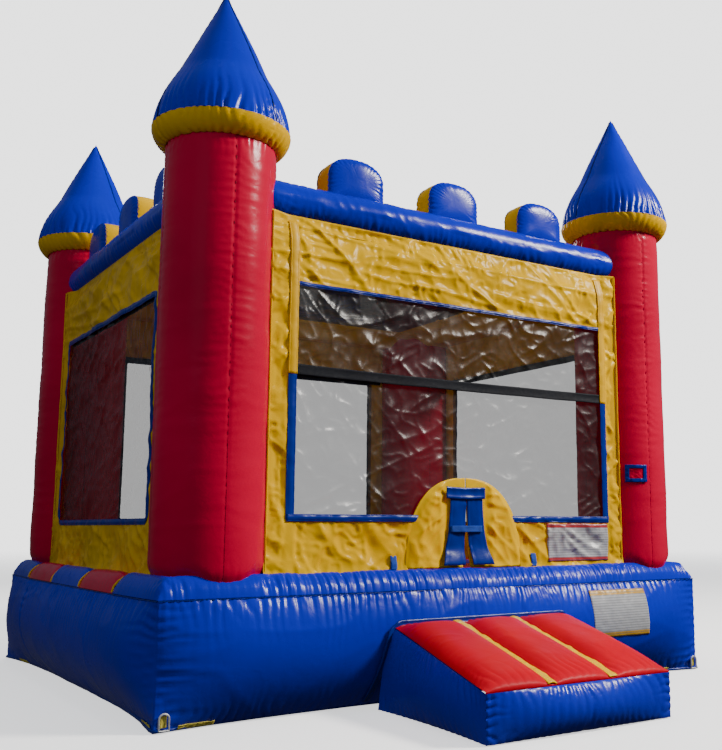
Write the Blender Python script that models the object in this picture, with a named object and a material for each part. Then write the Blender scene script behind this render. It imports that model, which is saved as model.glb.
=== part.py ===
"""Inflatable castle bounce house with four turrets, mesh windows, a slit door and an entry ramp.

Metres, +Z up. The origin is the centre of the base's underside, on the ground. The front, with the
door and the ramp, faces -Y, and +X is to the right when looking at the front. Every inflated piece
is a thin vinyl shell with openings, as the air passes from chamber to chamber.
"""

import math

import bmesh
import bpy

# Base cushion
HALF_W = 1.98
HALF_D = 1.712
SEAM_Z = 0.635
FLOOR_TOP = 0.73
BULGE = 0.075
SEAM_BULGE = 0.03
HEM_PULL = 0.10
SHEET = 0.005
TOUCH = 0.0005
SEAM_GAP = 0.003
STRIPS = 5
VALLEY = 0.03
FACING_GAP = 0.004
CUTTER_REACH = 0.05
SHOULDER_R = 0.09
SHOULDER_OUT = 0.02

# Turret columns and their cones
COLUMN_X = 1.602
COLUMN_Y = 1.396
COLUMN_R = 0.321
COLUMN_TOP = 3.171
RIM_R = 0.403
RIM_Z = 3.289
SKIRT_PROFILE = ((0.365, 3.200), (0.395, 3.245), (RIM_R, RIM_Z))
APEX_Z = 4.174
CONE_POWER = 1.12
CONE_RINGS = 5
ROUND_SEGMENTS = 24

# Top beams and crenellations
BEAM_R = 0.125
BEAM_Z = 2.916
BEAM_OUT = 0.085
SADDLE_GAP = 0.003
CRENEL_OUT = 0.034
CRENEL_HALF_W = 0.20
CRENEL_HALF_T = 0.075
CRENEL_PUFF = 0.02
CRENEL_SPRING_Z = 3.13
CRENEL_TOP_Z = 3.285
CRENEL_PITCH = 0.75

# Walls, windows and roof
WALL_OUT = 0.215
WALL_BOTTOM = 0.735
WALL_TOP = 2.785
FRONT_WINDOW = (1.205, 1.055, 2.405)
SIDE_WINDOW = (1.0, 1.035, 2.385)
MESH = 0.003
MESH_LAP = 0.03
ROOF_Z = 2.828
ROOF_HALF = (1.585, 1.38)
ROOF_HOLE = (1.10, 0.90)

# Door
ARCH_HALF_W = 0.45
ARCH_TOP = 1.31
DOORWAY_HALF_W = 0.305
DOORWAY_TOP = 1.20
DOORWAY_MESH_GAP = (0.007, 0.015)
HINGE_X = 0.302
FLAP_GAP = 0.003
FLAP_BOTTOM = 0.757
STRIP_W = 0.12
STRIP_BOTTOM = 0.83
STRIP_SLANT = 0.015
SLIT_FOOT = 0.02
STRAP_X = (-0.100, 0.105)
STRAP_Z = (0.972, 1.012)
STRAP_T = 0.003

# Ramp
RAMP_HALF_W = (0.64, 0.62)
RAMP_SEAM_Z = (0.44, 0.235)
RAMP_FRONT_Y = -2.85
RAMP_SKEW = 0.175
RAMP_SIDE_BULGE = 0.045
RAMP_PUFF = 0.045
RAMP_TUBES = 3
RAMP_TOP_GAP = 0.008
RAMP_BACK_GAP = 0.006
RAMP_FRONT_GAP = 0.004
RAMP_SHARES = (0.0, 0.25, 0.5, 0.75, 0.95)

# Anchors, inflation tube and zipper
ANCHOR_X = 1.93
RING_WIRE_R = 0.005
RING_HALF_W = 0.026
RING_LEG = 0.055
RING_Z = 0.013
RING_OUT = 0.0215
TONGUE_OUT = 0.009
LOOP_R = 0.008
WEBBING = 0.0025
WEBBING_HALF_W = 0.017
WEBBING_TOP = 0.16
WEBBING_BEND_Z = 0.06
TUBE_X = 0.95
TUBE_Z = 0.125
TUBE_SHEET = 0.003
TUBE_PROFILE = ((0.085, 1.79), (0.12, 1.86), (0.12, 2.25), (0.105, 2.32))
SLIDER_X = -0.90
SLIDER_Z = 0.30
SLIDER_SIZE = (0.030, 0.008, 0.014)

VINYL = {
    "blue_vinyl": ((0.012, 0.045, 0.42), 0.28, 0.0),
    "red_vinyl": ((0.62, 0.012, 0.022), 0.28, 0.0),
    "yellow_vinyl": ((0.83, 0.56, 0.02), 0.32, 0.0),
    "black_mesh": ((0.02, 0.02, 0.022), 0.45, 0.0),
    "blue_webbing": ((0.02, 0.06, 0.40), 0.60, 0.0),
    "yellow_webbing": ((0.80, 0.62, 0.06), 0.70, 0.0),
    "steel": ((0.75, 0.76, 0.78), 0.25, 1.0),
    "black_plastic": ((0.03, 0.03, 0.03), 0.40, 0.0),
}

CORNERS = {
    "front_left": (-1, -1),
    "front_right": (1, -1),
    "back_left": (-1, 1),
    "back_right": (1, 1),
}


def clear_scene():
    for obj in list(bpy.data.objects):
        bpy.data.objects.remove(obj)


def make_materials():
    made = {}
    for name, (color, roughness, metallic) in VINYL.items():
        material = bpy.data.materials.new(name)
        material.use_nodes = True
        shader = material.node_tree.nodes["Principled BSDF"]
        shader.inputs["Base Color"].default_value = (*color, 1.0)
        shader.inputs["Roughness"].default_value = roughness
        shader.inputs["Metallic"].default_value = metallic
        made[name] = material
    return made


def link_mesh(name, mesh, material, smooth=True):
    obj = bpy.data.objects.new(name, mesh)
    bpy.context.scene.collection.objects.link(obj)
    mesh.materials.append(MATERIALS[material])
    if smooth:
        mesh.shade_smooth()
        mesh.set_sharp_from_angle(angle=math.radians(40))
    return obj


def lofted(rows, wrap=False):
    """Points and quads of a surface through rows of equally many points."""
    count = len(rows[0])
    points = [point for row in rows for point in row]
    faces = []
    for r in range(len(rows) - 1):
        near = r * count
        far = near + count
        for c in range(count if wrap else count - 1):
            after = (c + 1) % count
            faces.append((near + c, near + after, far + after, far + c))
    return points, faces


def welded_form(points, faces):
    """A bmesh of these faces with points at the same place made one and normals made to agree."""
    mesh = bpy.data.meshes.new("form")
    mesh.from_pydata(points, [], faces)
    form = bmesh.new()
    form.from_mesh(mesh)
    bmesh.ops.remove_doubles(form, verts=form.verts, dist=1e-5)
    bmesh.ops.recalc_face_normals(form, faces=form.faces)
    form.normal_update()
    bpy.data.meshes.remove(mesh)
    return form


def closed(name, points, faces, material, smooth=True):
    """A piece given by its whole closed surface."""
    form = welded_form(points, faces)
    mesh = bpy.data.meshes.new(name)
    form.to_mesh(mesh)
    form.free()
    return link_mesh(name, mesh, material, smooth)


def shell(name, points, faces, material, inside, thickness=SHEET):
    """An open surface facing away from the point inside, thickened inwards into a closed panel."""
    form = welded_form(points, faces)
    facing = 0.0
    for face in form.faces:
        away = face.calc_center_median()
        away.x -= inside[0]
        away.y -= inside[1]
        away.z -= inside[2]
        facing += face.normal.dot(away) * face.calc_area()
    if facing < 0:
        bmesh.ops.reverse_faces(form, faces=form.faces)
    mesh = bpy.data.meshes.new(name)
    form.to_mesh(mesh)
    form.free()
    obj = link_mesh(name, mesh, material)
    solidify = obj.modifiers.new("thickness", "SOLIDIFY")
    solidify.thickness = thickness
    solidify.offset = -1.0
    solidify.use_even_offset = True
    return obj


def prism(name, outline, place, low, high, material):
    """A flat piece: an outline in a plane, extruded from low to high; place(u, v, w) is its point."""
    count = len(outline)
    points = [place(u, v, low) for u, v in outline]
    points += [place(u, v, high) for u, v in outline]
    faces = [tuple(range(count)), tuple(reversed(range(count, 2 * count)))]
    for i in range(count):
        after = (i + 1) % count
        faces.append((i, i + count, after + count, after))
    return closed(name, points, faces, material, smooth=False)


def cut(obj, cutter):
    """Takes the cutter out of obj and leaves it as a hidden wire guide."""
    cutter.hide_render = True
    cutter.display_type = "WIRE"
    boolean = obj.modifiers.new(cutter.name, "BOOLEAN")
    boolean.operation = "DIFFERENCE"
    boolean.object = cutter
    boolean.solver = "EXACT"


def turned(name, profile, centre, material, segments=ROUND_SEGMENTS, thickness=SHEET):
    """A shell turned about a vertical axis from (radius, z) points, thickened towards the axis.

    A last point of radius 0 is a tip.
    """
    inner = [(radius - thickness, z) for radius, z in profile]
    tipped = profile[-1][0] == 0
    if tipped:
        (radius, z), (_, tip_z) = profile[-2:]
        inner[-1] = (0, tip_z - (tip_z - z) * thickness / radius)
    section = inner[::-1] + list(profile)
    if not tipped:
        section.append(section[0])
    rows = []
    for radius, z in section:
        row = []
        for i in range(segments):
            angle = math.tau * i / segments
            row.append((centre[0] + radius * math.cos(angle), centre[1] + radius * math.sin(angle), z))
        rows.append(row)
    return closed(name, *lofted(rows, wrap=True), material)


def rectangle(half_u, low, high):
    return [(-half_u, low), (half_u, low), (half_u, high), (-half_u, high)]


def base_outset(s, z):
    """How far a base side stands out of its corner line: s is -1 to 1 along it, z the height."""
    share = z / SEAM_Z
    middle = SEAM_BULGE * share + BULGE * math.sin(math.pi * share) - HEM_PULL * (1 - share) ** 3
    return (1 - s**4) * middle


def base_outline(z, steps=14):
    """The closed outline of the base at one height, from the front left corner round to the left side."""
    points = []
    for i in range(steps):
        s = 2 * i / steps - 1
        points.append((s * HALF_W, -HALF_D - base_outset(s, z)))
    for i in range(steps):
        s = 2 * i / steps - 1
        points.append((HALF_W + base_outset(s, z), s * HALF_D))
    for i in range(steps):
        s = 1 - 2 * i / steps
        points.append((s * HALF_W, HALF_D + base_outset(s, z)))
    for i in range(steps):
        s = 1 - 2 * i / steps
        points.append((-HALF_W - base_outset(s, z), s * HALF_D))
    return points


def make_base():
    prism("base_bottom", base_outline(0.0), lambda u, v, w: (u, v, w), 0.0, SHEET, "blue_vinyl")
    levels = (SHEET + TOUCH, 0.08, 0.18, 0.30, 0.42, 0.53, SEAM_Z)
    rows = [[(x, y, z) for x, y in base_outline(z)] for z in levels]
    shell("base_wall", *lofted(rows, wrap=True), "blue_vinyl", (0, 0, 0.3))


def rounded_edge(half_size):
    """(position, height share) points of the quarter-round shoulder, from the seam up to the flat."""
    turns = [math.radians(angle) for angle in (90, 60, 30, 0)]
    flat = half_size + SHOULDER_OUT - SHOULDER_R
    return [(flat + SHOULDER_R * math.sin(a), math.cos(a)) for a in turns]


def make_floor():
    """Five tubes side by side, running in X; the outer two turn down into the base's seam."""
    low = SEAM_Z + SEAM_GAP
    rise = FLOOR_TOP - low
    ends = rounded_edge(HALF_W)
    across_x = [(-x, share) for x, share in ends] + [(x, share) for x, share in reversed(ends)]
    pitch = 2 * HALF_D / STRIPS
    for number in range(STRIPS):
        middle = -HALF_D + pitch * (number + 0.5)
        half = pitch / 2 - TOUCH
        stations = [(middle + half * v, 1.0, VALLEY * v**4) for v in (-1, -0.85, -0.5, 0, 0.5, 0.85, 1)]
        shoulder = [(y, share, 0.0) for y, share in rounded_edge(HALF_D)]
        if number == 0:
            stations = [(-y, share, drop) for y, share, drop in shoulder] + stations[3:]
        if number == STRIPS - 1:
            stations = stations[:4] + shoulder[::-1]
        rows = []
        for y, share_y, drop in stations:
            rows.append([(x, y, low + (rise * share_y - drop) * share_x) for x, share_x in across_x])
        color = "blue_vinyl" if number % 2 == 0 else "red_vinyl"
        shell(f"floor_strip_{number + 1}", *lofted(rows), color, (0, middle, 0))


def make_turrets():
    cone_low = RIM_Z + TOUCH
    skirt = ((COLUMN_R, COLUMN_TOP + TOUCH), *SKIRT_PROFILE)
    cone = []
    for i in range(CONE_RINGS + 1):
        share = i / CONE_RINGS
        radius = RIM_R * (1 - share**CONE_POWER)
        cone.append((radius, cone_low + (APEX_Z - cone_low) * share))
    for corner, (side_x, side_y) in CORNERS.items():
        centre = (side_x * COLUMN_X, side_y * COLUMN_Y)
        column = ((COLUMN_R, FLOOR_TOP + TOUCH), (COLUMN_R, COLUMN_TOP))
        turned(f"column_{corner}", column, centre, "red_vinyl")
        turned(f"cone_skirt_{corner}", skirt, centre, "yellow_vinyl")
        turned(f"cone_{corner}", cone, centre, "blue_vinyl")


def side_frames():
    """(name, columns' half spacing along the side, columns' distance from the middle, world placing)."""
    return (
        ("front", COLUMN_X, COLUMN_Y, lambda along, out, z: (along, -out, z)),
        ("back", COLUMN_X, COLUMN_Y, lambda along, out, z: (-along, out, z)),
        ("left", COLUMN_Y, COLUMN_X, lambda along, out, z: (-out, -along, z)),
        ("right", COLUMN_Y, COLUMN_X, lambda along, out, z: (out, along, z)),
    )


def make_beam(name, spacing, distance, place, segments=16):
    """A tube between two columns, its mouths cut to the columns' round."""
    axis_out = distance + BEAM_OUT
    rows = []
    for side in (-1, 0, 1):
        row = []
        for i in range(segments):
            angle = math.tau * i / segments
            out = axis_out + BEAM_R * math.cos(angle)
            reach = math.sqrt((COLUMN_R + FACING_GAP) ** 2 - (out - distance) ** 2)
            row.append(place(side * (spacing - reach), out, BEAM_Z + BEAM_R * math.sin(angle)))
        rows.append(row)
    shell(f"beam_{name}", *lofted(rows, wrap=True), "blue_vinyl", place(0, axis_out, BEAM_Z))


def make_crenellation(name, number, distance, place, across=4):
    """A tombstone-shaped puffed block that sits astride the beam, open where it joins the beam."""
    axis_out = distance + BEAM_OUT
    middle_out = distance + CRENEL_OUT
    rise = CRENEL_TOP_Z - CRENEL_SPRING_Z
    shift = CRENEL_PITCH * (number - 2)

    def saddle(out):
        reach = min(abs(out - axis_out), BEAM_R * 0.93)
        return BEAM_Z + math.sqrt(BEAM_R**2 - reach**2) + SADDLE_GAP

    def block_row(z, half, puff):
        """One closed row round the block; without z it follows the beam's top."""
        row = []
        for along, thick in loop:
            swell = puff * (1 - along**2) if abs(thick) == 1 else 0.0
            out = middle_out + thick * (CRENEL_HALF_T + swell)
            row.append(place(shift + along * half, out, saddle(out) if z is None else z))
        return row

    shares = [2 * i / across - 1 for i in range(across)]
    loop = [(share, 1) for share in shares] + [(1, -share) for share in shares]
    loop += [(-share, -1) for share in shares] + [(-1, share) for share in shares]
    rows = [block_row(None, CRENEL_HALF_W, 0.0)]
    for degrees in (0, 30, 55, 75, 90):
        angle = math.radians(degrees)
        z = CRENEL_SPRING_Z + rise * math.sin(angle)
        rows.append(block_row(z, CRENEL_HALF_W * math.cos(angle), CRENEL_PUFF))
    inside = place(shift, middle_out, CRENEL_SPRING_Z)
    shell(f"crenellation_{name}_{number}", *lofted(rows, wrap=True), "blue_vinyl", inside)


def arch_points(steps=12):
    """The half-moon's edge over the door, from left to right, springing from the window's lower edge."""
    low = FRONT_WINDOW[1]
    angles = [math.pi * (1 - i / steps) for i in range(steps + 1)]
    return [(ARCH_HALF_W * math.cos(a), low + (ARCH_TOP - low) * math.sin(a)) for a in angles]


def make_wall(name, spacing, distance, place):
    half_w, low, high = FRONT_WINDOW if spacing == COLUMN_X else SIDE_WINDOW
    out = distance + WALL_OUT
    edge = spacing - math.sqrt(COLUMN_R**2 - WALL_OUT**2) - FACING_GAP

    def flat(u, v, w):
        return place(u, w, v)

    outline = rectangle(edge, WALL_BOTTOM, WALL_TOP)
    wall = prism(f"wall_{name}", outline, flat, out - SHEET, out, "yellow_vinyl")
    opening = rectangle(half_w, low, high)
    if name == "front":
        opening = [opening[0], *arch_points(), *opening[1:]]
    reach = (out - CUTTER_REACH, out + CUTTER_REACH)
    cut(wall, prism(f"cutter_window_{name}", opening, flat, *reach, "black_mesh"))
    mesh_outline = rectangle(half_w + MESH_LAP, low - MESH_LAP, high + MESH_LAP)
    if name == "front":
        doorway = rectangle(DOORWAY_HALF_W, WALL_BOTTOM - CUTTER_REACH, DOORWAY_TOP)
        cut(wall, prism("cutter_doorway", doorway, flat, *reach, "black_mesh"))
        notch = DOORWAY_HALF_W + DOORWAY_MESH_GAP[0]
        bottom = low - MESH_LAP
        top = DOORWAY_TOP + DOORWAY_MESH_GAP[1]
        mesh_outline[1:1] = [(-notch, bottom), (-notch, top), (notch, top), (notch, bottom)]
    inner = out - SHEET - TOUCH
    prism(f"window_mesh_{name}", mesh_outline, flat, inner - MESH, inner, "black_mesh")


def make_roof():
    def level(u, v, w):
        return (u, v, w)

    half_x, half_y = ROOF_HALF
    reach = (ROOF_Z - CUTTER_REACH, ROOF_Z + CUTTER_REACH)
    outline = rectangle(half_x, -half_y, half_y)
    border = prism("roof_border", outline, level, ROOF_Z, ROOF_Z + SHEET, "yellow_vinyl")
    hole = rectangle(ROOF_HOLE[0], -ROOF_HOLE[1], ROOF_HOLE[1])
    cut(border, prism("cutter_roof", hole, level, *reach, "black_mesh"))
    radius = COLUMN_R + FACING_GAP
    for corner, (side_x, side_y) in CORNERS.items():
        round_cut = []
        for i in range(ROUND_SEGMENTS):
            angle = math.tau * i / ROUND_SEGMENTS
            x = side_x * COLUMN_X + radius * math.cos(angle)
            y = side_y * COLUMN_Y + radius * math.sin(angle)
            round_cut.append((x, y))
        cut(border, prism(f"cutter_{corner}", round_cut, level, *reach, "black_mesh"))
    lap = rectangle(ROOF_HOLE[0] + MESH_LAP, -ROOF_HOLE[1] - MESH_LAP, ROOF_HOLE[1] + MESH_LAP)
    low = ROOF_Z + SHEET + TOUCH
    prism("roof_mesh", lap, level, low, low + MESH, "black_mesh")


def hinged(obj, pivot):
    """Puts the piece's origin on its joint axis without moving its surface."""
    for vertex in obj.data.vertices:
        vertex.co.x -= pivot[0]
        vertex.co.y -= pivot[1]
        vertex.co.z -= pivot[2]
    obj.location = pivot


def make_door():
    out = COLUMN_Y + WALL_OUT

    def upright(u, v, w):
        return (u, -w, v)

    for name, side in (("left", -1), ("right", 1)):
        outline = [
            (FLAP_GAP, DOORWAY_TOP - FLAP_GAP),
            (HINGE_X - FLAP_GAP, DOORWAY_TOP - FLAP_GAP),
            (HINGE_X - FLAP_GAP, FLAP_BOTTOM),
            (STRIP_W + STRIP_SLANT, FLAP_BOTTOM),
            (STRIP_W, STRIP_BOTTOM),
            (SLIT_FOOT, STRIP_BOTTOM),
        ]
        outline = [(side * u, v) for u, v in outline]
        flap = prism(f"door_flap_{name}", outline, upright, out - SHEET, out, "yellow_vinyl")
        hinged(flap, (side * HINGE_X, -(out - SHEET / 2), DOORWAY_TOP))
    (left, right), (low, high) = STRAP_X, STRAP_Z
    band = [(left, low), (right, low), (right, high), (left, high)]
    front = out + TOUCH
    strap = prism("door_strap", band, upright, front, front + STRAP_T, "blue_webbing")
    hinged(strap, (left, -(front + STRAP_T / 2), low))


def ramp_point(share, across, z, bulge=0.0):
    """A point of the ramp: share 0 at the base to 1 at the front, across -1 to 1, at height z."""
    half = RAMP_HALF_W[0] + (RAMP_HALF_W[1] - RAMP_HALF_W[0]) * share
    x = -RAMP_SKEW * share + across * (half + bulge)
    back = -HALF_D - base_outset(x / HALF_W, z) - RAMP_BACK_GAP
    return (x, back + (RAMP_FRONT_Y - back) * share, z)


def ramp_seam(share):
    return RAMP_SEAM_Z[0] + (RAMP_SEAM_Z[1] - RAMP_SEAM_Z[0]) * share


def make_ramp():
    """A wedge cushion; its blue body is open where it joins the base, and under its red top."""
    front_acrosses = (-1, -0.5, 0, 0.5, 1)
    middle_shares = (*RAMP_SHARES, *(1.0 for _ in front_acrosses), *reversed(RAMP_SHARES))
    rows = [[ramp_point(share, 0, 0.0) for share in middle_shares]]
    for level in (0.0, 0.06, 0.3, 0.55, 0.8, 1.0):
        swell = RAMP_SIDE_BULGE * max(0.0, math.sin(math.pi * level)) ** 0.7
        left, right = [], []
        for share in RAMP_SHARES:
            bulge = swell * math.sin(math.pi * share)
            left.append(ramp_point(share, -1, ramp_seam(share) * level, bulge))
            right.append(ramp_point(share, 1, ramp_seam(share) * level, bulge))
        front = []
        for across in front_acrosses:
            x, y, z = ramp_point(1.0, across, ramp_seam(1.0) * level)
            front.append((x, y - swell * (1 - across**2) - RAMP_FRONT_GAP, z))
        rows.append(left + front + right[::-1])
    shell("ramp_body", *lofted(rows), "blue_vinyl", (-RAMP_SKEW / 2, -2.3, 0.15))
    acrosses = []
    for tube in range(RAMP_TUBES):
        for v in (-1, -0.7, 0, 0.7):
            acrosses.append(((2 * tube + 1 + v) / RAMP_TUBES - 1, v))
    acrosses.append((1.0, 1.0))
    top_rows = []
    for share in (0.0, 0.2, 0.5, 0.8, 0.93, 1.0):
        row = []
        for across, v in acrosses:
            lift = RAMP_PUFF * (1 - v**4) * (1 - share**6) ** 0.5 + RAMP_TOP_GAP
            x, y, z = ramp_point(share, across, ramp_seam(share))
            row.append((x, y, z + lift))
        top_rows.append(row)
    shell("ramp_top", *lofted(top_rows), "red_vinyl", (-RAMP_SKEW / 2, -2.3, 0.0))


def upright_at(side_y):
    """Places (out, z) outlines that stand out from the front or back, extruded along X."""
    return lambda out, z, x: (x, side_y * out, z)


def make_anchors():
    """A webbing loop at each corner with a steel ring round its bar, which stands upright."""
    for corner, (side_x, side_y) in CORNERS.items():
        bar_out = HALF_D + RING_OUT
        route = [(-RING_HALF_W, 0), (RING_HALF_W, 0), (RING_HALF_W, RING_LEG / 2)]
        for i in range(9):
            angle = math.pi * i / 8
            route.append((RING_HALF_W * math.cos(angle), RING_LEG + RING_HALF_W * math.sin(angle)))
        route.append((-RING_HALF_W, RING_LEG / 2))
        curve = bpy.data.curves.new(f"anchor_ring_{corner}", "CURVE")
        curve.dimensions = "3D"
        spline = curve.splines.new("POLY")
        spline.points.add(len(route) - 1)
        for point, (u, v) in zip(spline.points, route):
            point.co = (u, 0, v, 1)
        spline.use_cyclic_u = True
        curve.bevel_depth = RING_WIRE_R
        curve.bevel_resolution = 2
        curve.materials.append(MATERIALS["steel"])
        ring = bpy.data.objects.new(f"anchor_ring_{corner}", curve)
        bpy.context.scene.collection.objects.link(ring)
        ring.location = (side_x * ANCHOR_X, side_y * bar_out, RING_Z)

        tongue = HALF_D + TONGUE_OUT
        path = [(tongue, WEBBING_TOP), (tongue, WEBBING_BEND_Z)]
        for degrees in range(15, 271, 30):
            angle = math.radians(degrees)
            path.append((bar_out - LOOP_R * math.cos(angle), RING_Z - LOOP_R * math.sin(angle)))
        left, right = [], []
        for i, (u, v) in enumerate(path):
            before = path[max(i - 1, 0)]
            after = path[min(i + 1, len(path) - 1)]
            du, dv = after[0] - before[0], after[1] - before[1]
            half_sheet = WEBBING / 2 / math.hypot(du, dv)
            left.append((u - dv * half_sheet, v + du * half_sheet))
            right.append((u + dv * half_sheet, v - du * half_sheet))
        centre = side_x * ANCHOR_X
        span = (centre - WEBBING_HALF_W, centre + WEBBING_HALF_W)
        ribbon = left + right[::-1]
        prism(f"anchor_strap_{corner}", ribbon, upright_at(side_y), *span, "yellow_webbing")


def make_inflation_tube(segments=18):
    rows = []
    for radius, y in TUBE_PROFILE:
        row = []
        for i in range(segments):
            angle = math.tau * i / segments
            row.append((TUBE_X + radius * math.cos(angle), y, TUBE_Z + radius * math.sin(angle)))
        rows.append(row)
    middle = (TUBE_X, 2.05, TUBE_Z)
    tube = shell("inflation_tube", *lofted(rows, wrap=True), "blue_vinyl", middle, TUBE_SHEET)
    hinged(tube, (TUBE_X, TUBE_PROFILE[0][1], TUBE_Z))


def make_zipper_slider():
    wide, deep, tall = SLIDER_SIZE
    near = HALF_D + base_outset(SLIDER_X / HALF_W, SLIDER_Z) + FACING_GAP
    outline = [
        (-wide / 2, -tall / 2),
        (wide / 2, -tall / 3),
        (wide / 2, tall / 3),
        (-wide / 2, tall / 2),
    ]

    def place(u, v, w):
        return (SLIDER_X + u, w, SLIDER_Z + v)

    slider = prism("zipper_slider", outline, place, near, near + deep, "black_plastic")
    hinged(slider, (SLIDER_X, near, SLIDER_Z))


clear_scene()
MATERIALS = make_materials()
make_base()
make_floor()
make_turrets()
for side_name, spacing, distance, place in side_frames():
    make_beam(side_name, spacing, distance, place)
    for number in (1, 2, 3):
        make_crenellation(side_name, number, distance, place)
    make_wall(side_name, spacing, distance, place)
make_roof()
make_door()
make_ramp()
make_anchors()
make_inflation_tube()
make_zipper_slider()
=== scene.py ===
"""Looks of the inflatable castle: wrinkled vinyl skins, nets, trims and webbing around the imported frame.

Metres, +Z up, in the frame of the CAD: the front, with the door and the ramp, faces -Y.
"""

import math

import bmesh
import bpy
import numpy as np
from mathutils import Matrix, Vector


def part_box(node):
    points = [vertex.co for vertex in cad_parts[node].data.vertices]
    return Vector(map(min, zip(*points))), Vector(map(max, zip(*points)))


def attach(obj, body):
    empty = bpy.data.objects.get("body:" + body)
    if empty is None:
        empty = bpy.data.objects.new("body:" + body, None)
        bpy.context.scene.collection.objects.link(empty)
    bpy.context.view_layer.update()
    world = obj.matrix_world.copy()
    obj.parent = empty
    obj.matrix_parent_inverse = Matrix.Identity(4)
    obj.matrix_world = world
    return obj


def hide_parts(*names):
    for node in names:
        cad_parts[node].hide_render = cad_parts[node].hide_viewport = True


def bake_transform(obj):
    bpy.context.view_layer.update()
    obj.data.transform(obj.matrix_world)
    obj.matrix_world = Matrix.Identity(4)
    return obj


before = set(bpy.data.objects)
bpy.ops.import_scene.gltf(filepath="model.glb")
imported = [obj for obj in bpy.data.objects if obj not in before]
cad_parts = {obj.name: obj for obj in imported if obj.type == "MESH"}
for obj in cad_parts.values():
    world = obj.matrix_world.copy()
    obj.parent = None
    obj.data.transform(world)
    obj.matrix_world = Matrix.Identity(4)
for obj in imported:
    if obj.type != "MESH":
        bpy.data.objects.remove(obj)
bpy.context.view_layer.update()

# Base cushion and floor, as the CAD has them; its sides are 0 front, 1 right, 2 back and 3 left
HALF_W, HALF_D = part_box("base_bottom")[1][:2]
SEAM_Z = 0.635
FLOOR_TOP = 0.73
BULGE = 0.095
SEAM_BULGE = 0.03
HEM_PULL = 0.10
STRIPS = 5
VALLEY = 0.03
SHOULDER_R = 0.09
CROWN = 0.026
STRIP_PITCH = 2 * HALF_D / STRIPS
OUTWARD = ((0, -1), (1, 0), (0, 1), (-1, 0))
# Per base side, the places of its upright seams
BASE_SEAMS = ((), (-0.35,), (-0.5, 0.9), (-0.9,))
# Yellow bands on the hem: base side, place along it, half width
HEM_BANDS = (
    (0, -1.75, 0.10),
    (3, 1.55, 0.09),
    (0, 1.62, 0.09),
    (1, -1.35, 0.09),
    (2, 1.30, 0.09),
    (3, -1.30, 0.09),
)
# A step too small to see, to stay just inside a strip or a tube
HAIR = 1e-6

# Turrets
COLUMN_R = 0.321
COLUMN_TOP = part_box("column_front_left")[1][2]
RIM_R = 0.403
RIM_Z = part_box("cone_skirt_front_left")[1][2]
APEX_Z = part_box("cone_front_left")[1][2]
CONE_SEAMS = (62, 180, 298)
COLUMN_SEAMS = (84, 174, 264, 354)
BEAM_ANGLES = {
    "front_left": (0, 90),
    "front_right": (180, 90),
    "back_left": (0, 270),
    "back_right": (180, 270),
}
SKIRT_SLANT = 0.16

# Beams and crenellations
BEAM_R = 0.125
BEAM_Z = 2.916
BEAM_OUT = 0.085
CRENEL_OUT = 0.034
CRENEL_HALF_W = 0.20
CRENEL_HALF_T = 0.075
CRENEL_SPRING_Z = 3.13
CRENEL_TOP_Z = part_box("crenellation_front_2")[1][2]
CRENEL_FOOT_Z = 3.0
CRENEL_PITCH = 0.75
CRENEL_OUTLINE = 0.92
CRENEL_LEG = 0.17

# Walls, windows and roof; a window is (half width, bottom, top)
WALL_OUT = 0.215
FRONT_WINDOW = (1.205, 1.055, 2.405)
SIDE_WINDOW = (1.0, 1.035, 2.385)
WALL_TOP_OUT = 0.162
WALL_TOP_Z = 2.822
WALL_CURVE_Z = 2.60
NET_LAP = 0.02
NET_GAP = 0.012
BAND_Z = 1.90
ROOF_Z = 2.84
ROOF_HALF = (1.772, 1.566)
ROOF_HOLE = (1.10, 0.90)
ROOF_SAG = 0.045
WINDOWS = {"front": FRONT_WINDOW, "back": FRONT_WINDOW, "left": SIDE_WINDOW, "right": SIDE_WINDOW}

# Door
ARCH_HALF_W = 0.45
ARCH_TOP = 1.31
ARCH_FOOT = 0.722
DOOR_BOTTOM = 0.756
DOOR_STRIP_W = 0.12
DOOR_STRIP_BOTTOM = 0.772
DOOR_STRIP_TOP = 1.205
STRAP_X = (-0.130, 0.112)
STRAP_Z = (0.972, 1.012)

# Ramp
RAMP_HALF_W = (0.64, 0.62)
RAMP_SEAM_Z = (0.44, 0.235)
RAMP_FRONT_Y = -2.85
RAMP_SKEW = 0.175
RAMP_PUFF = 0.068
RAMP_TUBES = 3
RAMP_FLARE = 0.10
RAMP_LENGTH = 1.1

# Sleeve and zip at the back
SLEEVE_X = 0.95
SLEEVE_Z = 0.125
SLEEVE_Y = (1.725, 2.32)
ZIP_X = (-0.98, -0.32)
ZIP_Z = 0.30
ZIP_PITCH = 0.008
ZIP_TEETH = 82

# Labels and pocket
WALL_LABEL_Z = (0.778, 1.026)
BASE_LABEL_Z = (0.285, 0.59)
POCKET_Z = 1.381
POCKET_ANGLE = -116.2

CORNERS = {
    "front_left": (-1, -1),
    "front_right": (1, -1),
    "back_left": (-1, 1),
    "back_right": (1, 1),
}
COLUMN_X, COLUMN_Y = 1.602, 1.396
ANCHOR_X = 1.93
DOOR_OUT = COLUMN_Y + WALL_OUT
# Per side: half the turrets' spacing, how far out its turrets stand, and (along, out, z) to world
SIDES = {
    "front": (COLUMN_X, COLUMN_Y, lambda along, out, z: (along, -out, z)),
    "back": (COLUMN_X, COLUMN_Y, lambda along, out, z: (-along, out, z)),
    "left": (COLUMN_Y, COLUMN_X, lambda along, out, z: (-out, -along, z)),
    "right": (COLUMN_Y, COLUMN_X, lambda along, out, z: (out, along, z)),
}

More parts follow.
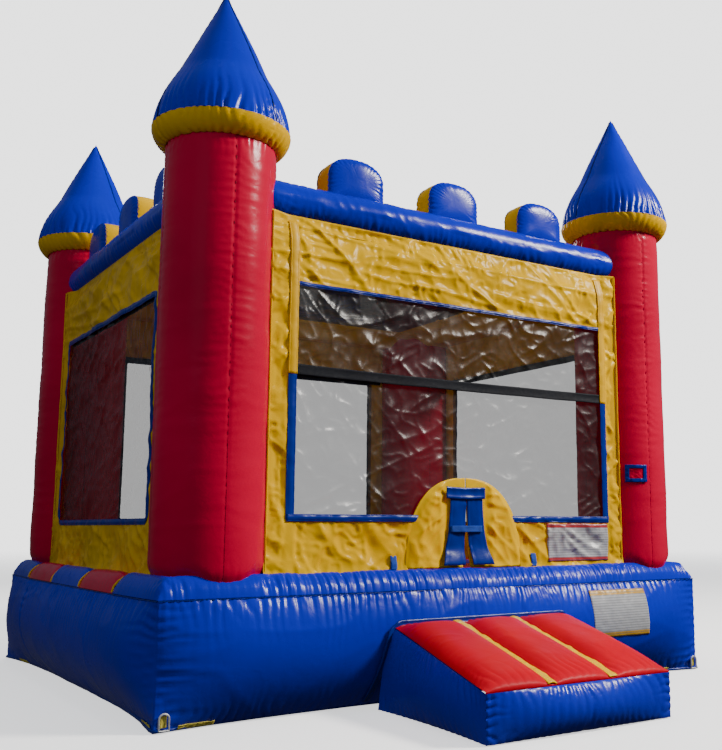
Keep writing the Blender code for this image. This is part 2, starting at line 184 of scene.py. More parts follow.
# Cross-sections of sewn bands, from edge to edge: place, then height with the stitch rows pressed in
TRIM_W = np.array([-1, -0.97, -0.80, -0.72, -0.64, 0, 0.64, 0.72, 0.80, 0.97, 1.0])
TRIM_RISE = np.array([-0.6, 0.35, 1.0, 0.25, 1.0, 1.0, 1.0, 0.25, 1.0, 0.35, -0.6])
BAND_W = np.array([-1, -0.9, -0.7, -0.6, 0, 0.6, 0.7, 0.9, 1.0])
BAND_RISE = np.array([-0.5, 0.6, 1, 0.3, 0.3, 0.3, 1, 0.6, -0.5])
FLAP_W = np.array([-1, -0.94, -0.78, -0.7, -0.62, -0.2, 0.2, 0.62, 0.7, 0.78, 0.94, 1.0])
FLAP_RISE = np.array([-0.5, 0.4, 1, 0.2, 1, 1, 1, 1, 0.2, 1, 0.4, -0.5])
LIP_W = np.array([-1, -0.9, -0.5, -0.35, 0, 0.35, 0.5, 0.9, 1.0])
LIP_RISE = np.array([0.0, 1, 1, 0.3, 1, 0.3, 1, 1, 0.0])

# Finishes: linear colours, and what the vinyl function takes
DUST = (0.36, 0.35, 0.36)
NET_ALPHA = 0.60
SHADE_ALPHA = 0.975
VINYLS = {
    "blue_vinyl": {"color": (0.0, 0.013, 0.52), "rough": (0.21, 0.32)},
    "red_vinyl": {"color": (0.60, 0.0, 0.040), "rough": (0.17, 0.27)},
    "ramp_red": {"color": (0.60, 0.0, 0.016), "coat": 0.0, "rough": (0.34, 0.44), "specular": 0.05},
    "yellow_vinyl": {"color": (0.79, 0.455, 0.0), "coat": 0.0, "rough": (0.20, 0.30), "specular": 0.06},
    "yellow_band": {"color": (0.87, 0.515, 0.0), "coat": 0.0, "rough": (0.20, 0.30), "specular": 0.08},
    "yellow_strip": {"color": (0.74, 0.41, 0.0), "coat": 0.0, "rough": (0.35, 0.5), "specular": 0.2},
}
SEWN_VINYLS = {
    "blue_trim": {"color": (0.0, 0.018, 0.27), "rough": (0.24, 0.36), "specular": 0.25},
    "blue_seam": {"color": (0.0, 0.008, 0.10), "rough": (0.4, 0.6), "specular": 0.15},
    "red_seam": {"color": (0.30, 0.0, 0.020), "rough": (0.4, 0.6), "specular": 0.15},
}
WEBBINGS = {
    "black_webbing": (0.006, 0.008, 0.014),
    "blue_webbing": (0.016, 0.07, 0.42),
    "yellow_webbing": (0.80, 0.66, 0.10),
}


# ---------------------------------------------------------------- noise and wrinkles
def noise2(u, v, seed):
    """Smooth noise from -1 to 1 with a lattice spacing of 1."""
    table = np.random.default_rng(seed).uniform(-1, 1, (64, 64))
    u, v = np.broadcast_arrays(np.asarray(u, float), np.asarray(v, float))
    iu, iv = np.floor(u).astype(int), np.floor(v).astype(int)
    fu, fv = u - iu, v - iv
    fu, fv = fu * fu * (3 - 2 * fu), fv * fv * (3 - 2 * fv)
    near = table[iu % 64, iv % 64] * (1 - fu) + table[(iu + 1) % 64, iv % 64] * fu
    far = table[iu % 64, (iv + 1) % 64] * (1 - fu) + table[(iu + 1) % 64, (iv + 1) % 64] * fu
    return near * (1 - fv) + far * fv


def smooth_step(t):
    """A smooth rise from 0 to 1 as t goes from 0 to 1."""
    t = np.clip(t, 0, 1)
    return t * t * (3 - 2 * t)


def puckers(along, away, pitch, reach, depth, seed):
    """Gathers at a seam, pressed in and fading with the distance from it; no two are alike."""
    away = np.abs(away)
    sway = 0.5 * pitch * noise2(along / pitch * 0.4, away / reach * 1.5, seed)
    phase = (along + sway) / pitch + 0.8 * noise2(along / pitch * 0.31, 0.5, seed + 1)
    crease = (1 - np.abs(np.sin(math.pi * phase))) ** 1.6
    length = reach * (0.25 + 0.75 * (0.5 + 0.5 * noise2(along / pitch * 0.8, 0.5, seed + 2)))
    strength = 0.25 + 0.75 * (0.5 + 0.5 * noise2(along / pitch * 0.37, 0.5, seed + 3))
    return -depth * crease * strength * np.exp(-((away / length) ** 1.4))


def creases(u, v, seed, sharpness=4.0):
    """Folds of a slack sheet, from 0 to 1: thin crests that wander between flat facets."""
    bent_u = u + 0.6 * noise2(u * 0.6, v * 0.6, seed + 1)
    bent_v = v + 0.6 * noise2(u * 0.6, v * 0.6, seed + 2)
    return (1 - np.abs(noise2(bent_u, bent_v, seed))) ** sharpness


def groove(off, depth, width):
    """The negative height of a soft groove along off = 0."""
    return -depth * np.exp(-((off / width) ** 2))


def turned_axes(u, v, degrees):
    """The same places along and across a direction at this angle."""
    angle = math.radians(degrees)
    return u * math.cos(angle) + v * math.sin(angle), v * math.cos(angle) - u * math.sin(angle)


def slack_relief(u, v, seed, lean=35.0):
    """The height in metres of a creased vinyl sheet: long leaning folds, then crumples between them."""
    along, across = turned_axes(u, v, lean)
    other_along, other_across = turned_axes(u, v, lean - 75)
    long_folds = creases(along * 1.6, across * 8.0, seed, 1.5)
    cross_folds = creases(other_along * 2.6, other_across * 10.0, seed + 10, 1.7)
    crumples = creases(u * 19.0, v * 19.0, seed + 20, 1.3)
    return 0.024 * long_folds + 0.017 * cross_folds + 0.009 * crumples - 0.031


# ---------------------------------------------------------------- meshes
def normals_of(points, wrap=False):
    """Unit normals of a grid of points: columns run along, rows run up."""
    if wrap:
        around = np.concatenate([points[:, -1:], points, points[:, :1]], axis=1)
        along = around[:, 2:] - around[:, :-2]
    else:
        along = np.gradient(points, axis=1)
    normal = np.cross(along, np.gradient(points, axis=0))
    return normal / np.maximum(np.linalg.norm(normal, axis=2, keepdims=True), 1e-12)


def pushed(points, distance, wrap=False):
    return points + normals_of(points, wrap) * distance[..., None]


def grid_object(name, points, material, wrap=False, keep=None, thickness=0.0, weld=False):
    """A mesh object through a grid of points; keep says which of its quads are made."""
    rows, cols = points.shape[:2]
    ids = np.arange(rows * cols).reshape(rows, cols)
    left, right = (ids, np.roll(ids, -1, axis=1)) if wrap else (ids[:, :-1], ids[:, 1:])
    quads = np.stack([left[:-1], right[:-1], right[1:], left[1:]], axis=-1)
    quads = quads[keep] if keep is not None else quads.reshape(-1, 4)
    used, loops = np.unique(quads, return_inverse=True)
    mesh = bpy.data.meshes.new(name)
    mesh.vertices.add(len(used))
    mesh.vertices.foreach_set("co", points.reshape(-1, 3)[used].ravel())
    mesh.loops.add(quads.size)
    mesh.loops.foreach_set("vertex_index", loops.ravel())
    mesh.polygons.add(len(quads))
    mesh.polygons.foreach_set("loop_start", np.arange(0, quads.size, 4))
    mesh.update(calc_edges=True)
    return mesh_object(name, mesh, material, thickness, weld)


def mesh_object(name, mesh, material, thickness=0.0, weld=False):
    if weld:
        form = bmesh.new()
        form.from_mesh(mesh)
        bmesh.ops.remove_doubles(form, verts=form.verts, dist=1e-5)
        form.to_mesh(mesh)
        form.free()
    mesh.shade_smooth()
    mesh.materials.append(MATERIALS[material])
    obj = bpy.data.objects.new(name, mesh)
    bpy.context.scene.collection.objects.link(obj)
    if thickness:
        solidify = obj.modifiers.new("thickness", "SOLIDIFY")
        solidify.thickness = thickness
        solidify.offset = -1.0
    return obj


def piece(obj, replaces=(), blend=None):
    """Hangs a made piece on the root body, or with a blend only bakes its place into its mesh, and hides the
    CAD nodes that it stands for.
    """
    if blend:
        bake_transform(obj)
    else:
        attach(obj, "root")
    if replaces:
        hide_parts(*replaces)
    return obj


def grid_piece(name, points, material, replaces=(), fill=None, blend=None, **shape):
    """A piece made of one grid of points."""
    return piece(grid_object(name, points, material, **shape), replaces, blend)


def spread(low, high, step):
    """Evenly spaced values from low to high, no further apart than step."""
    return np.linspace(low, high, max(2, math.ceil((high - low) / step) + 1))


def spreads(*parts):
    """Runs of (low, high, step) joined end to end."""
    runs = [spread(*part) for part in parts]
    return np.concatenate([runs[0], *[run[1:] for run in runs[1:]]])


def quad_middles(grid):
    return 0.5 * (grid[1:, 1:] + grid[:-1, :-1])


def mesh_from(form, name):
    """Turns a bmesh into a mesh and frees it."""
    mesh = bpy.data.meshes.new(name)
    form.to_mesh(mesh)
    form.free()
    return mesh


# ---------------------------------------------------------------- materials
def link(tree, source, target):
    tree.links.new(source, target)


def set_inputs(node, **values):
    """Sets a node's inputs by name, with _ for each space."""
    for name, value in values.items():
        node.inputs[name.replace("_", " ")].default_value = value


def add_node(tree, kind, **values):
    """A new node; values that aren't its own settings are set on its inputs."""
    node = tree.nodes.new(kind)
    for name, value in values.items():
        if hasattr(node, name):
            setattr(node, name, value)
        else:
            set_inputs(node, **{name: value})
    return node


def noise_node(tree, coords, scale, detail=3.0, roughness=0.5, distortion=0.0):
    node = tree.nodes.new("ShaderNodeTexNoise")
    set_inputs(node, Scale=scale, Detail=detail, Roughness=roughness, Distortion=distortion)
    link(tree, coords, node.inputs["Vector"])
    return node.outputs["Fac"]


def height_node(tree, coords):
    axes = tree.nodes.new("ShaderNodeSeparateXYZ")
    link(tree, coords, axes.inputs[0])
    return axes.outputs["Z"]


def range_node(tree, value, low, high, to_low=0.0, to_high=1.0):
    """Maps a value from low..high to to_low..to_high, held at both ends."""
    node = tree.nodes.new("ShaderNodeMapRange")
    set_inputs(node, From_Min=low, From_Max=high, To_Min=to_low, To_Max=to_high)
    link(tree, value, node.inputs["Value"])
    return node


def product_node(tree, first, second):
    node = add_node(tree, "ShaderNodeMath", operation="MULTIPLY")
    link(tree, first, node.inputs[0])
    link(tree, second, node.inputs[1])
    return node.outputs[0]


def mix_node(tree, factor, first, second):
    """Mixes a linked colour with a plain one."""
    node = add_node(tree, "ShaderNodeMix", data_type="RGBA")
    link(tree, factor, node.inputs["Factor"])
    link(tree, first, node.inputs["A"])
    node.inputs["B"].default_value = (*second, 1)
    return node.outputs["Result"]


def ramp_node(tree, factor, stops):
    node = tree.nodes.new("ShaderNodeValToRGB")
    ramp = node.color_ramp
    ramp.elements[0].position, ramp.elements[0].color = stops[0][0], (*stops[0][1], 1)
    ramp.elements[1].position, ramp.elements[1].color = stops[-1][0], (*stops[-1][1], 1)
    for position, color in stops[1:-1]:
        ramp.elements.new(position).color = (*color, 1)
    link(tree, factor, node.inputs["Fac"])
    return node.outputs["Color"]


def new_material(name):
    material = bpy.data.materials.new(name)
    material.use_nodes = True
    tree = material.node_tree
    shader = tree.nodes["Principled BSDF"]
    coords = tree.nodes.new("ShaderNodeTexCoord").outputs["Object"]
    return material, tree, shader, coords


def shade(color, factor):
    return tuple(min(1.0, c * factor) for c in color)


def base_tint(tree, shader, factor, low, high):
    link(tree, ramp_node(tree, factor, [(0.3, low), (0.7, high)]), shader.inputs["Base Color"])


def rough_range(tree, coords, shader, scale, low, high):
    fac = noise_node(tree, coords, scale, 4.0)
    grey = ramp_node(tree, fac, [(0.3, (low,) * 3), (0.7, (high,) * 3)])
    link(tree, grey, shader.inputs["Roughness"])


def bumps(tree, shader, layers):
    """Bump layers of (height output, strength, distance) chained into the shader's normal."""
    last = None
    for height, strength, distance in layers:
        node = add_node(tree, "ShaderNodeBump", Strength=strength, Distance=distance)
        link(tree, height, node.inputs["Height"])
        if last:
            link(tree, last, node.inputs["Normal"])
        last = node.outputs["Normal"]
    link(tree, last, shader.inputs["Normal"])


def weave_node(tree, coords, threads_per_metre):
    """Crossed bands at a scrim's pitch."""
    heights = []
    for direction in ("X", "Z"):
        wave = add_node(tree, "ShaderNodeTexWave", bands_direction=direction, Scale=threads_per_metre / 3.18)
        link(tree, coords, wave.inputs["Vector"])
        heights.append(wave.outputs["Fac"])
    return product_node(tree, *heights)


def vinyl(name, color, coat=0.04, rough=(0.14, 0.24), dusty=True, specular=0.17):
    """Glossy coated vinyl: faded in broad patches, finely crinkled, dusty near the ground."""
    material, tree, shader, coords = new_material(name)
    broad = noise_node(tree, coords, 1.1, 4.0)
    tint = ramp_node(tree, broad, [(0.3, shade(color, 0.84)), (0.5, color), (0.72, shade(color, 1.12))])
    if dusty:
        low_down = range_node(tree, height_node(tree, coords), 0.0, 0.30, 0.12, 0.0).outputs[0]
        speckle = noise_node(tree, coords, 7.0, 6.0, 0.65)
        tint = mix_node(tree, product_node(tree, low_down, speckle), tint, DUST)
    link(tree, tint, shader.inputs["Base Color"])
    rough_range(tree, coords, shader, 5.0, *rough)
    crinkle = noise_node(tree, coords, 14.0, 5.0, 0.55, 0.8)
    bumps(tree, shader, [(crinkle, 0.22, 0.006), (weave_node(tree, coords, 420), 0.03, 0.0004)])
    set_inputs(shader, Coat_Weight=coat, Coat_Roughness=0.10, Specular_IOR_Level=specular)
    return material


def netting(name, alpha):
    """Black vinyl-coated net: see-through, glossy on its folds."""
    material, tree, shader, coords = new_material(name)
    base_tint(tree, shader, noise_node(tree, coords, 2.0, 4.0), (0.012, 0.014, 0.015), (0.03, 0.032, 0.034))
    rough_range(tree, coords, shader, 6.0, 0.26, 0.38)
    crinkle = noise_node(tree, coords, 16.0, 5.0, 0.6, 1.2)
    bumps(tree, shader, [(crinkle, 0.3, 0.005), (weave_node(tree, coords, 300), 0.08, 0.0006)])
    set_inputs(shader, Specular_IOR_Level=0.5, Alpha=alpha)
    return material


def webbing(name, color):
    """Woven strap: ribbed across, matt, a little worn."""
    material, tree, shader, coords = new_material(name)
    base_tint(tree, shader, noise_node(tree, coords, 30.0, 5.0), shade(color, 0.75), shade(color, 1.15))
    rough_range(tree, coords, shader, 60.0, 0.55, 0.8)
    bumps(tree, shader, [(weave_node(tree, coords, 500), 0.5, 0.0008)])
    set_inputs(shader, Specular_IOR_Level=0.2)
    return material


def plain_finish(name, color, rough, metallic=0.0, scale=40.0):
    """Metal or hard plastic with a fine grain."""
    material, tree, shader, coords = new_material(name)
    grain = noise_node(tree, coords, scale, 5.0)
    base_tint(tree, shader, grain, shade(color, 0.82), shade(color, 1.1))
    rough_range(tree, coords, shader, scale * 1.7, *rough)
    bumps(tree, shader, [(grain, 0.15, 0.001)])
    set_inputs(shader, Metallic=metallic)
    return material


def label_finish(name, band, low, high):
    """A blank printed placard: plain bands of colour across a white field with faint ruled lines."""
    material, tree, shader, coords = new_material(name)
    place = range_node(tree, height_node(tree, coords), low, high).outputs[0]
    white, grey = (0.45, 0.46, 0.48), (0.16, 0.17, 0.19)
    stops = [(0.0, band), (0.10, band), (0.115, white), (0.885, white), (0.90, band), (1.0, band)]
    field = ramp_node(tree, place, stops)
    rules = add_node(tree, "ShaderNodeTexWave", bands_direction="Z", Scale=19.0, Distortion=0.4)
    link(tree, coords, rules.inputs["Vector"])
    lines = ramp_node(tree, rules.outputs["Fac"], [(0.55, (0, 0, 0)), (0.8, (0.55, 0.55, 0.55))])
    link(tree, mix_node(tree, lines, field, grey), shader.inputs["Base Color"])
    rough_range(tree, coords, shader, 9.0, 0.25, 0.4)
    bumps(tree, shader, [(noise_node(tree, coords, 22.0, 5.0, 0.6, 1.0), 0.5, 0.004)])
    return material


MATERIALS = {
    **{name: vinyl(name, **values) for name, values in VINYLS.items()},
    **{name: vinyl(name, coat=0.0, dusty=False, **values) for name, values in SEWN_VINYLS.items()},
    **{name: webbing(name, color) for name, color in WEBBINGS.items()},
    "black_mesh": netting("black_mesh", NET_ALPHA),
    "shade_mesh": netting("shade_mesh", SHADE_ALPHA),
    "steel": plain_finish("steel", (0.80, 0.81, 0.82), (0.30, 0.45), 0.55, 90.0),
    "black_plastic": plain_finish("black_plastic", (0.03, 0.03, 0.03), (0.35, 0.5)),
    "wall_label": label_finish("wall_label", (0.52, 0.03, 0.04), *WALL_LABEL_Z),
    "base_label": label_finish("base_label", (0.62, 0.33, 0.02), *BASE_LABEL_Z),
}


# ---------------------------------------------------------------- base and floor
def base_outset(s, z):
    """How far a base side stands out of its corner line, for s from -1 to 1 along it."""
    share = z / SEAM_Z
    swell = (1 - np.abs(s) ** 9) * BULGE * np.sin(np.pi * np.clip(share, 0, 1)) ** 0.85
    return swell + (1 - s**4) * (SEAM_BULGE * share - HEM_PULL * (1 - share) ** 3)


def side_half(index):
    """Half the length of a base side."""
    return HALF_W if index % 2 == 0 else HALF_D


def base_side(index, s, z):
    """Points of one base side, with s from -1 to 1 running anticlockwise."""
    along, away = s * side_half(index), side_half(index + 1) + base_outset(s, z)
    out_x, out_y = OUTWARD[index]
    x, y = away * out_x - along * out_y, along * out_x + away * out_y
    return np.stack(np.broadcast_arrays(x, y, z), axis=-1)


def moved_out(points, index, distance):
    """Points of a base side, moved straight out from it."""
    out_x, out_y = OUTWARD[index]
    points[..., 0] += out_x * distance
    points[..., 1] += out_y * distance
    return points


def base_relief(index, s, z):
    """How far gathers, seams and slack move a base side in or out."""
    half = side_half(index)
    along, corner = s * half, (1 - np.abs(s)) * half
    seed = 100 + 20 * index
    relief = puckers(along, SEAM_Z - z, 0.056, 0.20, 0.014, seed)
    relief += puckers(along + 5, SEAM_Z - z, 0.029, 0.13, 0.009, seed + 4)
    relief += puckers(along, z, 0.055, 0.12, 0.014, seed + 8)
    end = z + np.where(s < 0, 0.0, 3.0)
    corner_folds = puckers(end, corner, 0.050, 0.20, 0.022, seed + 12)
    corner_folds += puckers(end + 1, corner, 0.025, 0.07, 0.008, seed + 14)
    relief += corner_folds * smooth_step((SEAM_Z - z) / 0.05)
    relief += 0.010 * noise2(along * 1.3, z * 2.5, seed + 16)
    relief += 0.003 * creases(along * 3, z * 7, seed + 18, 4.0)
    for place in BASE_SEAMS[index]:
        off = along - place
        relief += puckers(z + 7, off, 0.06, 0.10, 0.010, seed + 17) + groove(off, 0.006, 0.008)
    edge = smooth_step(corner / 0.03)
    hem = smooth_step(z / 0.02)
    return relief * (0.25 + 0.75 * edge) * (0.3 + 0.7 * hem)


def make_base():
    """The base's inflated side skin as one ring, and the thin hem that it stands on."""
    z = spreads((0.004, 0.10, 0.014), (0.10, 0.42, 0.018), (0.42, SEAM_Z, 0.012))
    sides, reliefs = [], []
    for index in range(4):
        s_grid, z_grid = np.meshgrid(spread(-1, 1, 0.0115 / side_half(index))[:-1], z)
        sides.append(base_side(index, s_grid, z_grid))
        reliefs.append(base_relief(index, s_grid, z_grid))
    points = pushed(np.concatenate(sides, axis=1), np.concatenate(reliefs, axis=1), wrap=True)
    points[..., 2] = np.maximum(points[..., 2], 0.003)
    grid_piece("base_side_skin", points, "blue_vinyl", ["base_wall"], 0.9, wrap=True)
    hem = []
    s = spread(-1, 1, 0.03)[:-1]
    for height, out in ((0.016, -0.004), (0.018, 0.010), (0.004, 0.014), (0.0015, -0.004)):
        ring = []
        for index in range(4):
            wave = 0.003 * noise2(s * 30, index * 3.0, 7)
            row = moved_out(base_side(index, s, np.full_like(s, 0.004)), index, out + wave)
            row[:, 2] = height + (0.5 * np.abs(wave) if height > 0.01 else 0)
            ring.append(row)
        hem.append(np.concatenate(ring))
    hem.append(hem[0])
    grid_piece("base_hem", np.array(hem)[::-1], "blue_trim", wrap=True)


def shoulder(distance):
    """The rise, 0 to 1, of a quarter-round edge at this distance in from the seam."""
    t = np.clip(distance / SHOULDER_R, 0, 1)
    return np.sqrt(np.maximum(0, 1 - (1 - t) ** 2))


def floor_points(share_x, y0):
    """The floor's surface for share_x from -1 to 1 across and y0 along its flat plan."""
    share_y = np.abs(y0) / HALF_D
    x = share_x * (HALF_W + SEAM_BULGE * (1 - share_y**4))
    y = y0 + np.sign(y0) * SEAM_BULGE * (1 - share_x**4) * share_y**6
    in_x, in_y = (1 - np.abs(share_x)) * HALF_W, HALF_D - np.abs(y0)
    rise_x = shoulder(in_x)
    tube = (y0 + HALF_D) / STRIP_PITCH
    v = 2 * (tube - np.floor(np.clip(tube, 0, STRIPS - 1e-9))) - 1
    outer = (np.abs(y0) > HALF_D - STRIP_PITCH / 2) & (v * np.sign(y0) > 0)
    dip = np.where(outer, 0.0, VALLEY * np.abs(v) ** 7)
    z = SEAM_Z + ((FLOOR_TOP - SEAM_Z) * shoulder(in_y) - dip) * rise_x
    crown = np.exp(-(((np.minimum(in_x, in_y) - 0.075) / 0.055) ** 2))
    return np.stack([x, y, z + CROWN * crown], axis=-1)


def floor_height(x, y):
    """The floor's height at a place, with the shoulder's outward swell taken back to its flat plan."""
    flat_x = np.clip(np.asarray(x) / (HALF_W + SEAM_BULGE), -1, 1)
    flat_y = np.clip(np.asarray(y) * HALF_D / (HALF_D + SEAM_BULGE * (1 - flat_x**4)), -HALF_D, HALF_D)
    return floor_points(flat_x, flat_y)[..., 2]


def floor_relief(share_x, y0, seed):
    """How far gathers and slack move the floor in or out, calm at its edge and round the turrets' feet."""
    in_x, in_y = (1 - np.abs(share_x)) * HALF_W, HALF_D - np.abs(y0)
    x = share_x * HALF_W
    relief = puckers(x + np.where(y0 > 0, 9, 0), in_y * 1.3, 0.056, 0.20, 0.015, seed)
    relief += puckers(x + 3, in_y * 1.3, 0.027, 0.16, 0.010, seed + 4)
    relief += puckers(y0 + np.where(share_x > 0, 5, 0), in_x * 1.3, 0.040, 0.10, 0.010, seed + 8)
    tube = (y0 + HALF_D) / STRIP_PITCH
    border = np.abs(tube - np.round(tube)) * STRIP_PITCH
    relief += puckers(x + 2, border, 0.06, 0.06, 0.006, seed + 12) * (in_y > 0.2)
    relief += 0.004 * noise2(x * 2.0, y0 * 3.0, seed + 16) + 0.005 * noise2(x * 8.0, y0 * 6.0, seed + 17)
    from_foot = np.hypot(np.abs(x) - COLUMN_X, np.abs(y0) - COLUMN_Y) - COLUMN_R
    calm = 0.15 + 0.85 * smooth_step(from_foot / 0.07)
    return relief * calm * (0.2 + 0.8 * smooth_step(np.minimum(in_x, in_y) / 0.02))


def make_floor():
    """The floor's tubes, finest where they turn down at the base's edge, and the piping between them."""
    half = spreads((0, 0.30, 0.011), (0.30, HALF_W, 0.035)) / HALF_W
    coarse_x = np.concatenate([-1 + half, (1 - half)[::-1][1:]])
    for number in range(STRIPS):
        low = -HALF_D + STRIP_PITCH * number
        share_x, y0 = coarse_x, spread(low, low + STRIP_PITCH, 0.016)
        if number in (0, STRIPS - 1):
            share_x = spread(-1, 1, 0.0075 / HALF_W)
            inward = spreads((0, 0.20, 0.009), (0.20, STRIP_PITCH, 0.022))
            y0 = low + inward if number == 0 else low + STRIP_PITCH - inward[::-1]
        share_grid, y_grid = np.meshgrid(share_x, y0)
        inner = np.clip(y_grid, low + HAIR, low + STRIP_PITCH - HAIR)
        points = pushed(floor_points(share_grid, inner), floor_relief(share_grid, y_grid, 200))
        material = "blue_vinyl" if number % 2 == 0 else "red_vinyl"
        grid_piece(f"floor_tube_{number + 1}", points, material, [f"floor_strip_{number + 1}"], 0.9)
    for number in range(1, STRIPS):
        border = -HALF_D + STRIP_PITCH * number
        line = floor_points(coarse_x, np.full_like(coarse_x, border - HAIR))
        line[:, 2] += 0.004 + 0.002 * noise2(coarse_x * 40, number, 12)
        tube_along(f"floor_piping_{number}", line, 0.007, "yellow_vinyl")


def tube_along(name, line, radius, material, sides=8):
    """A round cord sewn along a line of points."""
    tangent = np.gradient(line, axis=0)
    tangent /= np.maximum(np.linalg.norm(tangent, axis=1, keepdims=True), 1e-12)
    reference = np.array([0.0, 0.0, 1.0])
    if np.abs(tangent[:, 2]).max() > 0.95:
        reference = np.array([0.31, 0.95, 0.05])
    side = np.cross(tangent, reference)
    side /= np.maximum(np.linalg.norm(side, axis=1, keepdims=True), 1e-12)
    up = np.cross(side, tangent)
    angles = np.linspace(0, math.tau, sides, endpoint=False)[None, :, None]
    points = line[:, None] + radius * (np.cos(angles) * side[:, None] + np.sin(angles) * up[:, None])
    return grid_piece(name, points, material, wrap=True)


# ---------------------------------------------------------------- turrets
def ring_points(centre, radius, angle, z):
    return np.stack([centre[0] + radius * np.cos(angle), centre[1] + radius * np.sin(angle), z], axis=-1)


def turned_from(angle, degrees):
    """Angles measured from a direction, between -pi and pi."""
    return (angle - math.radians(degrees) + math.pi) % math.tau - math.pi


def gore_relief(angle, radius, height, seams, seed, depth=0.010, reach=0.17):
    """Seam grooves down a round form, with gathers across them; height runs along the seams."""
    relief = 0
    for number, seam in enumerate(seams):
        arc = turned_from(angle, seam) * radius
        half = np.where(arc < 0, 0.0, 4.0)
        relief = relief + groove(arc, 0.006, 0.007)
        relief = relief + puckers(height + half + number * 6, arc, 0.050, reach, depth, seed + 5 * number)
    return relief


def make_turrets():
    """Four columns with their seams, each under a yellow skirt and a blue cone."""
    angles = np.linspace(0, math.tau, 216, endpoint=False)
    for number, (corner, (side_x, side_y)) in enumerate(CORNERS.items()):
        centre = (side_x * COLUMN_X, side_y * COLUMN_Y)
        seed = 300 + 40 * number
        points = column_points(corner, centre, *np.meshgrid(angles, spread(0, 1, 0.0062)), seed)
        grid_piece(f"turret_column_{corner}", points, "red_vinyl", [f"column_{corner}"], 0.95, wrap=True)
        t = spread(0.015, 0.985, 0.008)[None]
        for seam_number, seam in enumerate(COLUMN_SEAMS):
            line = column_points(corner, centre, np.full_like(t, math.radians(seam)), t, seed)[0]
            tube_along(f"column_seam_{corner}_{seam_number + 1}", line, 0.0020, "red_seam", sides=6)
        make_cone(corner, centre, angles, seed + 50)


def column_points(corner, centre, angle, t, seed):
    """Points of a turret's column, from its foot on the floor at t = 0 to its top at t = 1."""
    foot = floor_height(centre[0] + COLUMN_R * np.cos(angle), centre[1] + COLUMN_R * np.sin(angle)) - 0.014
    foot = np.maximum(foot, FLOOR_TOP - 0.032)
    z = foot + (COLUMN_TOP + 0.012 - foot) * t
    arc = angle * COLUMN_R
    worked = 0.30 + 0.70 * smooth_step((z - 1.2) / 0.8)
    relief = gore_relief(angle, COLUMN_R, z, COLUMN_SEAMS, seed, 0.008, 0.13) * worked
    for beam_angle in BEAM_ANGLES[corner]:
        beside = np.maximum(np.abs(turned_from(angle, beam_angle) * COLUMN_R) - 0.10, 0)
        near = np.hypot(beside, np.maximum(BEAM_Z - 0.9 - z, 0))
        relief += puckers(z + beam_angle, near, 0.045, 0.16, 0.013, seed + 17)
    relief += puckers(arc, COLUMN_TOP - z, 0.045, 0.10, 0.008, seed + 21)
    relief += puckers(arc, z - foot, 0.050, 0.10, 0.006, seed + 25)
    relief += 0.003 * noise2(arc * 3, z * 4, seed + 29)
    relief += 0.002 * creases(arc * 3.0, z * 12, seed + 31, 2.0)
    relief += groove(COLUMN_TOP - z, 0.003, 0.04) + groove(z - foot, 0.024, 0.040)
    return ring_points(centre, COLUMN_R + relief, angle, z)


def make_cone(corner, centre, angles, seed):
    """A turret's yellow skirt and the blue cone on it, with its seams."""
    angle, t = np.meshgrid(angles, spread(0, 1, 0.014))
    radius = COLUMN_R + (RIM_R - COLUMN_R) * np.sin(t * math.pi / 2) ** 1.15
    z = COLUMN_TOP + (RIM_Z - COLUMN_TOP) * (1 - np.cos(t * math.pi / 2)) ** 0.85
    arc, slant = angle * RIM_R, t * SKIRT_SLANT
    relief = puckers(arc, SKIRT_SLANT - slant, 0.055, 0.08, 0.018, seed)
    relief += puckers(arc + 4, slant, 0.06, 0.10, 0.016, seed + 4)
    relief += gore_relief(angle, RIM_R, slant, CONE_SEAMS, seed + 8, 0.004, 0.05)
    points = pushed(ring_points(centre, radius, angle, z), relief, wrap=True)
    grid_piece(f"turret_skirt_{corner}", points, "yellow_vinyl", [f"cone_skirt_{corner}"], 0.9, wrap=True)

    points = cone_points(centre, *np.meshgrid(angles, spreads((0, 0.25, 0.010), (0.25, 1, 0.02))), seed)
    grid_piece(f"turret_cone_{corner}", points, "blue_vinyl", [f"cone_{corner}"], 0.95, wrap=True, weld=True)
    t = spread(0.01, 0.97, 0.012)[None]
    for number, seam in enumerate(CONE_SEAMS):
        line = cone_points(centre, np.full_like(t, math.radians(seam)), t, seed, 0.0015)[0]
        tube_along(f"cone_seam_{corner}_{number + 1}", line, 0.0048, "blue_seam", sides=6)


def cone_points(centre, angle, t, seed, lift=0.0):
    """Points of a turret's cone, from its gathered rim at t = 0 to its apex at t = 1."""
    radius = RIM_R * (1 - t**1.12) + 0.018 * np.sin(math.pi * np.clip(t / 0.4, 0, 1)) ** 1.2
    z = RIM_Z + (APEX_Z - 0.003 - RIM_Z) * t
    arc = angle * RIM_R
    relief = puckers(arc, z - RIM_Z, 0.060, 0.20, 0.032, seed + 20)
    relief += puckers(arc + 3, z - RIM_Z, 0.036, 0.11, 0.012, seed + 24)
    relief += gore_relief(angle, np.maximum(radius, 0.02), z, CONE_SEAMS, seed + 28, 0.005, 0.10)
    relief += 0.003 * noise2(arc * 4, z * 5, seed + 40)
    relief *= smooth_step(radius / 0.08)
    return ring_points(centre, radius + relief + lift, angle, z)


# ---------------------------------------------------------------- beams and crenellations
def placed(side, along, out, z):
    """World points on one side of the castle, from along, outward distance and height."""
    along, out, z = np.broadcast_arrays(along, out, z)
    return np.stack(SIDES[side][2](along, out, z), axis=-1).astype(float)


def column_reach(distance, out, radius=COLUMN_R):
    """How far from the turrets' line a plane at this outward place meets them."""
    return np.sqrt(np.maximum(radius**2 - (out - distance) ** 2, 0.0001))


